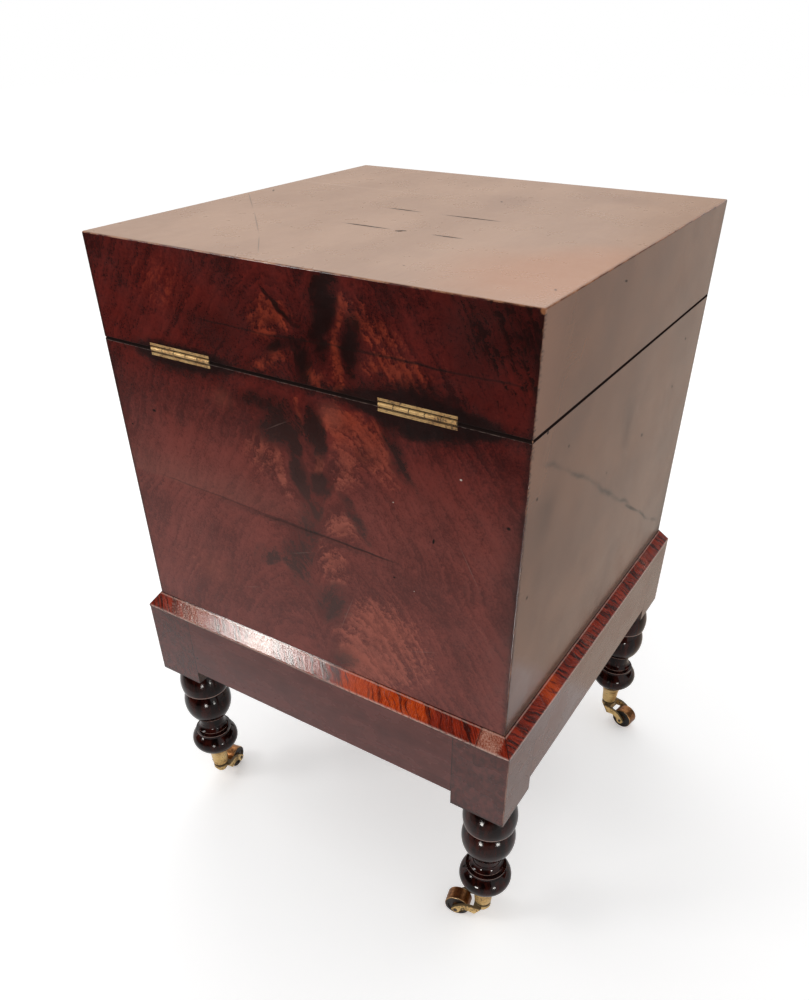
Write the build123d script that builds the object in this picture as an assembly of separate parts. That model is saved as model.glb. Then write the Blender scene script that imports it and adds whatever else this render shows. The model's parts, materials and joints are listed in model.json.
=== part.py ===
from build123d import *
import os
from math import acos, cos, degrees, radians, sin, tan

# Antique mahogany cellarette: a square case for bottles with a deep hinged lid,
# on a low stand with four turned legs and swivelling brass castors.
# Millimetres. +Z is up and the castor wheels stand on z = 0. The front, with the
# lock, faces -Y, and the hinges are at the rear, +Y. Left and right are as seen
# from the front, so left is -X. Each size is written once, here, and every
# place and fit below is worked out from these values.

# Case and lid
case_width = 470.0
case_depth = 466.0
case_height = 310.1        # top of the stand to the seam under the lid
lid_height = 98.2          # seam to top face
case_board = 16.0          # thickness of the four case panels
lid_board = 16.0           # thickness of the four lid rims
lid_top_thickness = 14.0
bottom_thickness = 12.0
corner_round = 1.2         # worn radius of the upright corners
top_edge_round = 1.5       # worn radius round the top face
seam_arris = 0.45          # small bevel along both edges of the seam

# Lining and bottle divisions
liner_sheet = 1.0          # zinc sheet
liner_drop = 14.0          # top of the lining below the seam
divider_thickness = 6.0
divider_height = 180.0
cells_across = 3
cells_deep = 3
halving_clearance = 0.1    # each side, where the slats cross
divider_end_clearance = 0.3

# Stand
moulding_run = 12.4        # how far the sloped moulding stands out past the case
moulding_rise = 19.1
moulding_nose = 2.6        # upright part at the foot of the slope
moulding_nose_round = 2.4  # worn radius above it
moulding_width = 40.0      # from its outer edge inwards
rail_height = 79.8
rail_thickness = 20.0
block_size = 63.5          # square corner blocks
block_drop = 18.6          # how far they hang below the rails
block_corner_round = 1.5

# Turned legs. Heights are measured up from the underside of the leg.
leg_radius = 31.0          # the two rings and the ball
leg_inset = 31.4           # leg axis in from the stand's faces
foot_radius = 15.0         # where the ball meets the castor
ball_centre = 23.0
ball_half_height = 22.5
lower_collar_radius = 24.0
lower_collar_height = 4.2
upper_collar_radius = 20.5
upper_collar_height = 3.6
flare_share = 0.3          # how hollow the flare is: 0.5 would be straight
neck_radius = 16.8
neck_height = 25.0
neck_flare = 9.0           # height over which the neck widens into the upper collar
lower_ring_lip = 23.5      # radius of the sharp edge under the lower ring
lower_ring_half = 23.5     # height from that edge to the widest place
ring_waist = 24.6          # radius between the two rings
upper_ring_lip = 29.7
upper_ring_half = 8.8
ring_gap = 1.4             # undercut under the upper ring
upper_ring_shoulder = 24.4 # height from its widest place to the top collar
top_collar_radius = 25.5
top_collar_height = 7.0
dowel_radius = 12.5
dowel_length = 45.0

# Brass castors
wheel_radius = 15.2
wheel_width = 18.0
wheel_edge_round = 1.4
wheel_rim_width = 4.0      # flat rim round the dished side of the wheel
wheel_dish = 1.0
wheel_boss = 1.4           # how far the boss stands out past the rim, each side
castor_trail = 30.5        # axle behind the swivel axis
axle_radius = 2.2
axle_head = 0.8            # the riveted end stands out past the arm
running_clearance = 0.05   # radial, axle and pintle
wheel_side_gap = 0.6       # boss to arm
arm_thickness = 3.4
arm_top_drop = 1.5         # top edge of the arms below the top of the hub
arm_depth = 9.7            # top edge to lower edge, beside the hub
arm_straight = 14.0        # the top edge is level this far behind the axis
arm_bow = 3.0              # how far the falling edges bow out past a straight line
arm_back = 1.0             # the arms start this far in front of the axis at the top
heel_back = 6.5            # and this far behind it at the heel
heel_drop = 1.8            # heel below the arms' lower edge
eye_radius = 5.3
bridge_front = 9.0         # the bridge between the arms ends this far behind the axis
hub_radius = 10.0
hub_foot_radius = 6.5
hub_straight = 5.5         # upright part of the hub's side, below its top
hub_thickness = 12.0
hub_height = 19.0          # underside of the hub above the floor
swivel_gap = 1.5           # between hub and socket, round a smaller shoulder
shoulder_radius = 7.0
pintle_radius = 4.0
pintle_length = 16.0
pintle_head_radius = 5.8
pintle_head_thickness = 3.0
head_clearance = 0.4
socket_height = 30.5
socket_top_radius = 14.5
socket_rim = 2.0
socket_cove = 8.0
socket_waist_radius = 11.8
socket_bottom_radius = 10.2
socket_bottom_round = 1.6
spike_radius = 5.0
spike_length = 32.0
# Rest directions in which the wheels trail, in degrees from +X
rear_left_trail = 13.0
rear_right_trail = -79.0
front_left_trail = 169.0
half_turn = 180.0
# How far each leg stands off its mark, in X and Y: old legs are never quite true
rear_left_shift = (-2.2, -0.4)
rear_right_shift = (-2.4, -1.2)
front_left_shift = (-1.2, 0.8)

# Brass stop hinges
hinge_width = 76.0
hinge_inset = 65.0         # end of each hinge in from the case's side
pivot_inset = 1.5          # pivot in from the rear face
lid_opens = 95.0           # degrees
bevel_spare = 1.2          # degrees left between the meeting bevels when open
leaf_depth = 14.0
leaf_thickness = 3.0
leaf_relief = 0.15         # each leaf lies this far under the timber's edge
rib_height = 5.9           # thick rear edge of each leaf, from the seam
rib_depth = 5.2
barrel_radius = 2.1
barrel_clearance = 0.3
channel_radius = 3.6       # groove beside the barrel, seen from behind
channel_front = 0.3        # how far in front of the pivot it reaches
hinge_pin_radius = 1.1
knuckle_count = 5
knuckle_gap = 0.25

# Countersunk brass screws
screw_shank_radius = 1.4
screw_head_radius = 3.0
screw_head_height = 1.6
screw_length = 13.0
screws_per_leaf = 3
screw_margin = 12.0        # end screws in from the ends of each leaf

# Lock in the front panel, its staple plate on the lid, and the keyhole
lock_width = 60.0
lock_height = 42.0
lock_thickness = 10.0
lock_wall = 1.8
selvedge_width = 78.0
selvedge_thickness = 2.4
staple_plate_width = 60.0
staple_plate_thickness = 2.0
staple_screw_spacing = 40.0
staple_thickness = 4.0     # along the bolt's travel
staple_depth = 5.2
staple_eye_wall = 1.7      # metal under the staple's eye
staple_eye_height = 6.2
staple_eye_width = 3.0
staple_clearance = 0.6
bolt_height = 5.0
bolt_drop = 9.2            # middle of the bolt below the seam
bolt_thickness = 2.4
bolt_rest_gap = 1.0        # bolt to staple, unlocked
bolt_overrun = 4.0         # how far the thrown bolt passes the staple
keyhole_drop = 27.0        # keyhole centre below the seam
keyhole_radius = 2.6
keyhole_slot_width = 2.4
keyhole_slot_length = 7.0
escutcheon_width = 18.0
escutcheon_height = 30.0
escutcheon_thickness = 1.2
cutter_margin = 1.0        # how far cutting shapes run past what they cut

# Levels and faces worked out from the sizes above
socket_bottom = hub_height + hub_thickness + swivel_gap
leg_bottom = socket_bottom + socket_height
ball_top_angle = degrees(acos(lower_collar_radius / leg_radius))
ball_foot_angle = degrees(acos(foot_radius / leg_radius))
ball_top = ball_centre + ball_half_height * sin(radians(ball_top_angle))
ball_foot = ball_centre - ball_half_height * sin(radians(ball_foot_angle))
neck_bottom = ball_top + lower_collar_height + upper_collar_height
neck_top = neck_bottom + neck_height
lower_ring_centre = neck_top + lower_ring_half
waist_height = lower_ring_centre + lower_ring_half - ring_gap
upper_lip_height = waist_height + ring_gap
upper_ring_centre = upper_lip_height + upper_ring_half
top_collar_bottom = upper_ring_centre + upper_ring_shoulder
leg_height = top_collar_bottom + top_collar_height
block_bottom = leg_bottom + leg_height
rail_bottom = block_bottom + block_drop
moulding_bottom = rail_bottom + rail_height
case_bottom = moulding_bottom + moulding_rise
seam = case_bottom + case_height
lid_top_under = seam + lid_height - lid_top_thickness
total_height = seam + lid_height

half_width = case_width / 2
half_depth = case_depth / 2
stand_half_width = half_width + moulding_run
stand_half_depth = half_depth + moulding_run
inner_half_width = half_width - case_board
inner_half_depth = half_depth - case_board
cell_half_width = inner_half_width - liner_sheet
cell_half_depth = inner_half_depth - liner_sheet
liner_floor = case_bottom + bottom_thickness + liner_sheet
pivot_y = half_depth - pivot_inset
bevel_angle = lid_opens / 2 + bevel_spare
hinge_spacing = case_width - 2 * hinge_inset - hinge_width
screw_pitch = (hinge_width - 2 * screw_margin) / (screws_per_leaf - 1)
arm_offset = wheel_width / 2 + wheel_boss + wheel_side_gap
hub_top = hub_height + hub_thickness
bolt_centre = seam - bolt_drop
staple_drop = bolt_drop + staple_eye_height / 2 + staple_eye_wall
bolt_travel = bolt_rest_gap + staple_thickness + bolt_overrun
bolt_length = 2 * bolt_travel   # half of it stays in the lock when it is thrown
lock_front = -(inner_half_depth + lock_thickness)
lock_middle = -(inner_half_depth + lock_thickness / 2)

SIDES = ("front", "rear", "left", "right")
CORNERS = {
    "front_left": (-1, -1, front_left_shift, front_left_trail),
    "front_right": (1, -1, (-front_left_shift[0], front_left_shift[1]), half_turn - front_left_trail),
    "rear_left": (-1, 1, rear_left_shift, rear_left_trail),
    "rear_right": (1, 1, rear_right_shift, rear_right_trail),
}
HINGES = {"left": -hinge_spacing / 2, "right": hinge_spacing / 2}


def box(x0, x1, y0, y1, z0, z1):
    """A square-edged block between two corners."""
    lowest = (Align.MIN, Align.MIN, Align.MIN)
    return Pos(x0, y0, z0) * Box(x1 - x0, y1 - y0, z1 - z0, align=lowest)


def upright(radius, z0, z1, x=0.0, y=0.0):
    """A vertical cylinder between two heights."""
    base = (Align.CENTER, Align.CENTER, Align.MIN)
    return Pos(x, y, z0) * Cylinder(radius, z1 - z0, align=base)


def along_x(radius, x0, x1, y=0.0, z=0.0):
    """A cylinder lying along X."""
    return Pos((x0 + x1) / 2, y, z) * Rot(0, 90, 0) * Cylinder(radius, x1 - x0)


def prism_x(points, x0, x1):
    """A straight bar along X with the given outline in Y and Z."""
    outline = make_face(Polyline(*[(x0, y, z) for y, z in points], close=True))
    return extrude(outline, amount=x1 - x0, dir=(1, 0, 0))


def mitred(side, half_x, half_y, width, z0, z1):
    """One side of a square frame, cut at 45 degrees where it meets its neighbours."""
    ix, iy = half_x - width, half_y - width
    corners = {
        "front": [(-half_x, -half_y), (half_x, -half_y), (ix, -iy), (-ix, -iy)],
        "rear": [(half_x, half_y), (-half_x, half_y), (-ix, iy), (ix, iy)],
        "left": [(-half_x, half_y), (-half_x, -half_y), (-ix, -iy), (-ix, iy)],
        "right": [(half_x, -half_y), (half_x, half_y), (ix, iy), (ix, -iy)],
    }[side]
    outline = make_face(Polyline(*[(x, y, z0) for x, y in corners], close=True))
    return extrude(outline, amount=z1 - z0, dir=(0, 0, 1))


def rounded_column(z0, z1):
    """The case's outline with worn upright corners."""
    plan = RectangleRounded(case_width, case_depth, corner_round)
    return extrude(Pos(0, 0, z0) * plan, amount=z1 - z0)


def pivot_wedge(sign):
    """What the rear edges lose above (1) or below (-1) the seam, so that the lid can lean back."""
    reach = pivot_inset + cutter_margin
    slope = tan(radians(bevel_angle))
    outline = [(0, 0), (reach, sign * reach * slope), (reach, -sign * reach), (0, -sign * reach)]
    placed = [(pivot_y + y, seam + z) for y, z in outline]
    return prism_x(placed, -half_width - cutter_margin, half_width + cutter_margin)


def ease_seam(board, at_top):
    """Take the sharp arris off the outer edge that lies on the seam."""
    level = board.edges().group_by(Axis.Z)[-1 if at_top else 0]
    return chamfer(level.sort_by(SortBy.LENGTH)[-1], seam_arris)


def screw(x, y, head_z, up):
    """A countersunk screw whose head is flush at head_z; up says which way its point goes."""
    tip = head_z + up * screw_length
    taper_end = head_z + up * screw_head_height
    points = [(0, head_z), (screw_head_radius, head_z), (screw_shank_radius, taper_end),
              (screw_shank_radius, tip - up * screw_shank_radius), (0, tip)]
    outline = make_face(Polyline(*[(r, 0, z) for r, z in points], close=True))
    return Pos(x, y, 0) * revolve(outline, Axis.Z)


def hinge_screw_places():
    """Centres of the hinge screws, in X and Y."""
    first = screw_margin - hinge_width / 2
    y = half_depth - rib_depth - (leaf_depth - rib_depth) / 2
    return [(centre + first + screw_pitch * i, y)
            for centre in HINGES.values() for i in range(screws_per_leaf)]


def lock_screw_places():
    """Centres of the screws through the lock's top plate, in X and Y."""
    x = (lock_width + selvedge_width) / 4    # midway along each ear of the plate
    return [(-x, lock_middle), (x, lock_middle)]


def staple_screw_places():
    """Centres of the screws through the staple plate, in X and Y."""
    x = staple_screw_spacing / 2
    return [(-x, lock_middle), (x, lock_middle)]


def hinge_screws(up):
    head = seam + up * leaf_relief
    return [screw(x, y, head, up) for x, y in hinge_screw_places()]


def case_screws():
    lock = [screw(x, y, seam - leaf_relief, -1) for x, y in lock_screw_places()]
    return hinge_screws(-1) + lock


def lid_screws():
    staple = [screw(x, y, seam + leaf_relief, 1) for x, y in staple_screw_places()]
    return hinge_screws(1) + staple


def leaf_pocket(centre, up):
    """The recess in the timber that one hinge leaf lies in."""
    x0, x1 = centre - hinge_width / 2, centre + hinge_width / 2
    front = half_depth - leaf_depth
    plate = box(x0, x1, front, half_depth, *sorted((seam, seam + up * leaf_thickness)))
    rib = box(x0, x1, half_depth - rib_depth, half_depth, *sorted((seam, seam + up * rib_height)))
    return plate + rib


def knuckle_span(centre, index):
    """Ends of one knuckle along the pin."""
    pitch = hinge_width / knuckle_count
    start = centre - hinge_width / 2 + pitch * index
    return start + knuckle_gap / 2, start + pitch - knuckle_gap / 2


def hinge_leaf(centre, up):
    """A leaf with its thick rear edge and its share of the knuckles."""
    leaf = leaf_pocket(centre, up)
    x0, x1 = centre - hinge_width / 2, centre + hinge_width / 2
    leaf -= box(x0, x1, half_depth - leaf_depth, half_depth, *sorted((seam, seam + up * leaf_relief)))
    leaf -= pivot_wedge(up)
    behind = box(x0, x1, pivot_y - channel_front, half_depth + channel_radius,
                 seam - channel_radius, seam + channel_radius)
    leaf -= along_x(channel_radius, x0, x1, pivot_y, seam) & behind
    own = 0 if up < 0 else 1
    for index in range(1 - own, knuckle_count, 2):
        start, end = knuckle_span(centre, index)
        leaf -= along_x(barrel_radius + barrel_clearance, start - knuckle_gap, end + knuckle_gap,
                        pivot_y, seam)
    for index in range(own, knuckle_count, 2):
        leaf += along_x(barrel_radius, *knuckle_span(centre, index), pivot_y, seam)
    bore = hinge_pin_radius + (running_clearance if up > 0 else 0.0)
    leaf -= along_x(bore, x0, x1, pivot_y, seam)
    for x, y in hinge_screw_places():
        leaf -= screw(x, y, seam + up * leaf_relief, up)
    return leaf


def hinge_pin(centre):
    return along_x(hinge_pin_radius, centre - hinge_width / 2, centre + hinge_width / 2, pivot_y, seam)


def lock_pocket():
    """The mortise for the lock, open to the inside and to the top edge of the front panel."""
    body = box(-lock_width / 2, lock_width / 2, lock_front, -inner_half_depth, seam - lock_height, seam)
    plate = box(-selvedge_width / 2, selvedge_width / 2, lock_front, -inner_half_depth,
                seam - selvedge_thickness, seam)
    return body + plate


def keyhole(y0, y1):
    """Round hole with a slot below it, cut from front to back."""
    z = seam - keyhole_drop
    hole = Pos(0, (y0 + y1) / 2, z) * Rot(90, 0, 0) * Cylinder(keyhole_radius, y1 - y0)
    slot = box(-keyhole_slot_width / 2, keyhole_slot_width / 2, y0, y1, z - keyhole_slot_length, z)
    return hole + slot


def case_panel(side):
    board = mitred(side, half_width, half_depth, case_board, case_bottom, seam)
    board &= rounded_column(case_bottom, seam)
    board = ease_seam(board, at_top=True)
    board -= pivot_wedge(-1)
    if side == "rear":
        for centre in HINGES.values():
            board -= leaf_pocket(centre, -1)
        for hole in hinge_screws(-1):
            board -= hole
    if side == "front":
        board -= lock_pocket()
        board -= keyhole(-half_depth - cutter_margin, lock_front)
        for x, y in lock_screw_places():
            board -= screw(x, y, seam - leaf_relief, -1)
    return board


def case_floor():
    return box(-inner_half_width, inner_half_width, -inner_half_depth, inner_half_depth,
               case_bottom, case_bottom + bottom_thickness)


def liner():
    """Zinc tray that lines the case."""
    outside = box(-inner_half_width, inner_half_width, -inner_half_depth, inner_half_depth,
                  liner_floor - liner_sheet, seam - liner_drop)
    inside = box(-cell_half_width, cell_half_width, -cell_half_depth, cell_half_depth, liner_floor, seam)
    return outside - inside


def divider_places(half, count):
    """Centres of the slats that part the case into equal cells."""
    cell = (2 * half - (count - 1) * divider_thickness) / count
    return [-half + cell * (i + 1) + divider_thickness * (i + 0.5) for i in range(count - 1)]


def divider(axis, place):
    """A slat across the case, halved where the others cross it."""
    top = liner_floor + divider_height
    middle = liner_floor + divider_height / 2
    half_slot = divider_thickness / 2 + halving_clearance
    if axis == "x":
        end = cell_half_width - divider_end_clearance
        slat = box(-end, end, place - divider_thickness / 2, place + divider_thickness / 2,
                   liner_floor, top)
        for x in divider_places(cell_half_width, cells_across):
            slat -= box(x - half_slot, x + half_slot, -case_depth, case_depth, middle, top)
        return slat
    end = cell_half_depth - divider_end_clearance
    slat = box(place - divider_thickness / 2, place + divider_thickness / 2, -end, end,
               liner_floor, top)
    for y in divider_places(cell_half_depth, cells_deep):
        slat -= box(-case_width, case_width, y - half_slot, y + half_slot, liner_floor, middle)
    return slat


def lid_rim(side):
    board = mitred(side, half_width, half_depth, lid_board, seam, lid_top_under)
    board &= rounded_column(seam, lid_top_under)
    board = ease_seam(board, at_top=False)
    board -= pivot_wedge(1)
    if side == "rear":
        for centre in HINGES.values():
            board -= leaf_pocket(centre, 1)
        for hole in hinge_screws(1):
            board -= hole
    if side == "front":
        board -= box(-staple_plate_width / 2, staple_plate_width / 2, lock_front, -inner_half_depth,
                     seam, seam + staple_plate_thickness + leaf_relief)
        for x, y in staple_screw_places():
            board -= screw(x, y, seam + leaf_relief, 1)
    return board


def lid_top():
    board = rounded_column(lid_top_under, total_height)
    return fillet(board.edges().group_by(Axis.Z)[-1], top_edge_round)


def moulding(side):
    """A sloped length round the top of the stand, mitred at the corners."""
    half_x, half_y = stand_half_width, stand_half_depth
    bar = mitred(side, half_x, half_y, moulding_width, moulding_bottom, case_bottom)
    along, across = (half_x, half_y) if side in ("front", "rear") else (half_y, half_x)
    inner = across - moulding_width - cutter_margin
    nose = (across, moulding_bottom + moulding_nose)
    section = make_face(Polyline((across, moulding_bottom), nose, (across - moulding_run, case_bottom),
                                 (inner, case_bottom), (inner, moulding_bottom), close=True))
    section = fillet(section.vertices().sort_by_distance(nose)[0], moulding_nose_round)
    face = Plane(origin=(-along, 0, 0), x_dir=(0, 1, 0), z_dir=(1, 0, 0)) * section
    profile = extrude(face, amount=2 * along, dir=(1, 0, 0))
    turn = {"rear": 0, "left": 90, "front": 180, "right": -90}[side]
    return bar & (Rot(0, 0, turn) * profile)


def rail(side):
    """A board between two corner blocks, flush with their outer faces."""
    reach = (stand_half_width if side in ("front", "rear") else stand_half_depth) - block_size
    face = stand_half_depth if side in ("front", "rear") else stand_half_width
    turn = {"rear": 0, "left": 90, "front": 180, "right": -90}[side]
    board = box(-reach, reach, face - rail_thickness, face, rail_bottom, moulding_bottom)
    return Rot(0, 0, turn) * board


def leg_place(sx, sy, shift):
    return (sx * (stand_half_width - leg_inset) + shift[0],
            sy * (stand_half_depth - leg_inset) + shift[1])


def corner_block(sx, sy, shift):
    x = sorted((sx * stand_half_width, sx * (stand_half_width - block_size)))
    y = sorted((sy * stand_half_depth, sy * (stand_half_depth - block_size)))
    block = box(*x, *y, block_bottom, moulding_bottom)
    outer = block.edges().filter_by(Axis.Z).sort_by(lambda e: sx * e.center().X + sy * e.center().Y)[-1]
    block = fillet(outer, block_corner_round)
    lx, ly = leg_place(sx, sy, shift)
    return block - upright(dowel_radius, block_bottom, block_bottom + dowel_length, lx, ly)


def leg_profile():
    """Half outline of the turning, from the castor up to the dowel's end."""
    ball_low = (foot_radius, ball_foot)
    ball = EllipticalCenterArc((0, ball_centre), leg_radius, ball_half_height,
                               start_angle=-ball_foot_angle, arc_size=ball_foot_angle + ball_top_angle)
    collar_top = ball_top + lower_collar_height
    lower = Polyline((0, 0), (foot_radius, 0), ball_low)
    middle = Polyline((lower_collar_radius, ball_top), (lower_collar_radius, collar_top),
                      (upper_collar_radius, collar_top), (upper_collar_radius, neck_bottom))
    flare_top = neck_bottom + neck_flare
    hollow = (neck_radius + (upper_collar_radius - neck_radius) * flare_share,
              neck_bottom + neck_flare * flare_share)
    flare = ThreePointArc((upper_collar_radius, neck_bottom), hollow, (neck_radius, flare_top))
    neck = Polyline((neck_radius, flare_top), (neck_radius, neck_top), (lower_ring_lip, neck_top))
    lower_ring = ThreePointArc((lower_ring_lip, neck_top), (leg_radius, lower_ring_centre),
                               (ring_waist, waist_height))
    undercut = Polyline((ring_waist, waist_height), (ring_waist, upper_lip_height),
                        (upper_ring_lip, upper_lip_height))
    upper_ring = ThreePointArc((upper_ring_lip, upper_lip_height), (leg_radius, upper_ring_centre),
                               (top_collar_radius, top_collar_bottom))
    top = Polyline((top_collar_radius, top_collar_bottom), (top_collar_radius, leg_height),
                   (dowel_radius, leg_height), (dowel_radius, leg_height + dowel_length),
                   (0, leg_height + dowel_length), (0, 0))
    return lower + ball + middle + flare + neck + lower_ring + undercut + upper_ring + top


def leg(sx, sy, shift):
    x, y = leg_place(sx, sy, shift)
    turned = revolve(Plane.XZ * make_face(leg_profile()), Axis.Z)
    turned -= upright(spike_radius, 0, spike_length)
    return Pos(x, y, leg_bottom) * turned


def castor_socket(sx, sy, shift):
    """Brass cup under the leg, with a spike up into the timber and a bore for the pintle."""
    top, bottom = leg_bottom, socket_bottom
    rim_under, cove_start = top - socket_rim, top - socket_rim - socket_cove
    outline = Polyline((0, bottom), (socket_bottom_radius, bottom), (socket_waist_radius, cove_start),
                       (socket_top_radius, rim_under), (socket_top_radius, top), (spike_radius, top),
                       (spike_radius, top + spike_length), (0, top + spike_length), close=True)
    section = make_face(outline)
    for corner, radius in (((socket_bottom_radius, bottom), socket_bottom_round),
                           ((socket_waist_radius, cove_start), socket_cove)):
        section = fillet(section.vertices().sort_by_distance(corner)[0], radius)
    cup = revolve(Plane.XZ * section, Axis.Z)
    bore_top = hub_top + swivel_gap + pintle_length
    cup -= upright(pintle_radius + running_clearance, bottom, bore_top)
    cup -= upright(pintle_head_radius + head_clearance, bore_top,
                   bore_top + pintle_head_thickness + 2 * head_clearance)
    x, y = leg_place(sx, sy, shift)
    return Pos(x, y, 0) * cup


def castor_place(sx, sy, shift, trail):
    """Frame of a castor: origin on the floor under the swivel, X the way the wheel trails."""
    x, y = leg_place(sx, sy, shift)
    return Pos(x, y, 0) * Rot(0, 0, trail)


def bowed(start, end, bow):
    """An arc that stands out from the straight line between two points."""
    chord = Vector(*end) - Vector(*start)
    middle = (Vector(*start) + Vector(*end)) / 2 + Vector(-chord.Y, chord.X).normalized() * bow
    return ThreePointArc(start, (middle.X, middle.Y), end)


def arm_outline():
    """Side view of a castor arm, with the eye for the axle. X is behind the axis, Y is up."""
    top = hub_top - arm_top_drop
    low = top - arm_depth
    eye_back = (castor_trail + eye_radius, wheel_radius)
    eye_front = (castor_trail - eye_radius, wheel_radius)
    upper = Polyline((-arm_back, top), (arm_straight, top)) \
        + bowed((arm_straight, top), eye_back, arm_bow)
    under_eye = ThreePointArc(eye_back, (castor_trail, wheel_radius - eye_radius), eye_front)
    lower = bowed(eye_front, (arm_straight, low), -arm_bow / 2) \
        + Polyline((arm_straight, low), (heel_back, low - heel_drop), (-arm_back, top))
    return make_face(upper + under_eye + lower)


def castor_horn(sx, sy, shift, trail):
    """Hub with a pintle, and two cheeks that carry the axle, joined by a bridge."""
    hub = make_face(Polyline((0, hub_height), (hub_foot_radius, hub_height),
                             (hub_radius, hub_top - hub_straight), (hub_radius, hub_top),
                             (0, hub_top), close=True))
    horn = revolve(Plane.XZ * hub, Axis.Z)
    width = arm_offset + arm_thickness
    arms = extrude(Plane.XZ * arm_outline(), amount=width, both=True)
    arms -= box(bridge_front, castor_trail + wheel_radius, -arm_offset, arm_offset, 0, hub_top)
    arms -= castor_axle(axle_radius, width)
    horn += arms
    shoulder_top = hub_top + swivel_gap
    horn += upright(shoulder_radius, hub_top, shoulder_top)
    head_bottom = shoulder_top + pintle_length + head_clearance
    horn += upright(pintle_radius, shoulder_top, head_bottom)
    horn += upright(pintle_head_radius, head_bottom, head_bottom + pintle_head_thickness)
    return castor_place(sx, sy, shift, trail) * horn


def castor_axle(radius, half_length):
    """A cylinder on the axle's line, in the castor's frame."""
    return Pos(castor_trail, 0, wheel_radius) * Rot(90, 0, 0) * Cylinder(radius, 2 * half_length)


def castor_pin(sx, sy, shift, trail):
    half_length = arm_offset + arm_thickness + axle_head
    return castor_place(sx, sy, shift, trail) * castor_axle(axle_radius, half_length)


def castor_wheel(sx, sy, shift, trail):
    wheel = Cylinder(wheel_radius, wheel_width)
    wheel = fillet(wheel.edges().filter_by(GeomType.CIRCLE), wheel_edge_round)
    dish = Cylinder(wheel_radius - wheel_rim_width, 2 * wheel_dish)
    for side in (-1, 1):
        wheel -= Pos(0, 0, side * wheel_width / 2) * dish
    wheel += Cylinder(eye_radius, wheel_width + 2 * wheel_boss)
    wheel -= Cylinder(axle_radius + running_clearance, 2 * wheel_width)
    on_axle = Pos(castor_trail, 0, wheel_radius) * Rot(90, 0, 0) * wheel
    return castor_place(sx, sy, shift, trail) * on_axle


def lock_case():
    """Box of the lock with its top plate, slotted for the staple."""
    body = box(-lock_width / 2, lock_width / 2, lock_front, -inner_half_depth, seam - lock_height,
               seam - leaf_relief)
    body += box(-selvedge_width / 2, selvedge_width / 2, lock_front, -inner_half_depth,
                seam - selvedge_thickness, seam - leaf_relief)
    body -= box(-lock_width / 2 + lock_wall, lock_width / 2 - lock_wall, lock_front + lock_wall,
                -inner_half_depth - lock_wall, seam - lock_height + lock_wall, seam - selvedge_thickness)
    half_slot = staple_thickness / 2 + staple_clearance
    half_gap = staple_depth / 2 + staple_clearance
    body -= box(-half_slot, half_slot, lock_middle - half_gap, lock_middle + half_gap,
                seam - 2 * selvedge_thickness, seam)
    body -= keyhole(lock_front, lock_front + lock_wall)
    for x, y in lock_screw_places():
        body -= screw(x, y, seam - leaf_relief, -1)
    return body


def lock_bolt():
    """Bar that slides through the staple's eye."""
    start = staple_thickness / 2 + bolt_rest_gap
    return box(start, start + bolt_length,
               lock_middle - bolt_thickness / 2, lock_middle + bolt_thickness / 2,
               bolt_centre - bolt_height / 2, bolt_centre + bolt_height / 2)


def staple_plate():
    """Plate under the lid's front edge, with the eye that the bolt goes through."""
    plate = box(-staple_plate_width / 2, staple_plate_width / 2, lock_front, -inner_half_depth,
                seam + leaf_relief, seam + staple_plate_thickness + leaf_relief)
    half_x, half_y = staple_thickness / 2, staple_depth / 2
    plate += box(-half_x, half_x, lock_middle - half_y, lock_middle + half_y,
                 seam - staple_drop, seam + leaf_relief)
    plate -= box(-half_x, half_x, lock_middle - staple_eye_width / 2, lock_middle + staple_eye_width / 2,
                 bolt_centre - staple_eye_height / 2, bolt_centre + staple_eye_height / 2)
    for x, y in staple_screw_places():
        plate -= screw(x, y, seam + leaf_relief, 1)
    return plate


def escutcheon():
    """Oval brass plate round the keyhole, on the front face."""
    middle = seam - keyhole_drop - keyhole_slot_length / 2
    front = Plane(origin=(0, -half_depth, middle), x_dir=(1, 0, 0), z_dir=(0, -1, 0))
    outline = front * Ellipse(escutcheon_width / 2, escutcheon_height / 2)
    plate = extrude(outline, amount=escutcheon_thickness, dir=(0, -1, 0))
    return plate - keyhole(-half_depth - escutcheon_thickness, -half_depth)


def all_pieces():
    """Every sub-part by its name."""
    pieces = {"case_floor": case_floor(), "zinc_liner": liner(), "lid_top": lid_top()}
    for side in SIDES:
        pieces["case_panel_" + side] = case_panel(side)
        pieces["lid_rim_" + side] = lid_rim(side)
        pieces["stand_moulding_" + side] = moulding(side)
        pieces["stand_rail_" + side] = rail(side)
    for index, y in enumerate(divider_places(cell_half_depth, cells_deep), 1):
        pieces["divider_across_%d" % index] = divider("x", y)
    for index, x in enumerate(divider_places(cell_half_width, cells_across), 1):
        pieces["divider_deep_%d" % index] = divider("y", x)
    for corner, (sx, sy, shift, trail) in CORNERS.items():
        pieces["corner_block_" + corner] = corner_block(sx, sy, shift)
        pieces["leg_" + corner] = leg(sx, sy, shift)
        pieces["castor_socket_" + corner] = castor_socket(sx, sy, shift)
        pieces["castor_horn_" + corner] = castor_horn(sx, sy, shift, trail)
        pieces["castor_pin_" + corner] = castor_pin(sx, sy, shift, trail)
        pieces["castor_wheel_" + corner] = castor_wheel(sx, sy, shift, trail)
    for side, centre in HINGES.items():
        pieces["hinge_case_leaf_" + side] = hinge_leaf(centre, -1)
        pieces["hinge_lid_leaf_" + side] = hinge_leaf(centre, 1)
        pieces["hinge_pin_" + side] = hinge_pin(centre)
    pieces["case_screws"] = Compound(children=case_screws())
    pieces["lid_screws"] = Compound(children=lid_screws())
    pieces["lock_case"] = lock_case()
    pieces["lock_bolt"] = lock_bolt()
    pieces["staple_plate"] = staple_plate()
    pieces["escutcheon"] = escutcheon()
    return pieces


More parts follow.
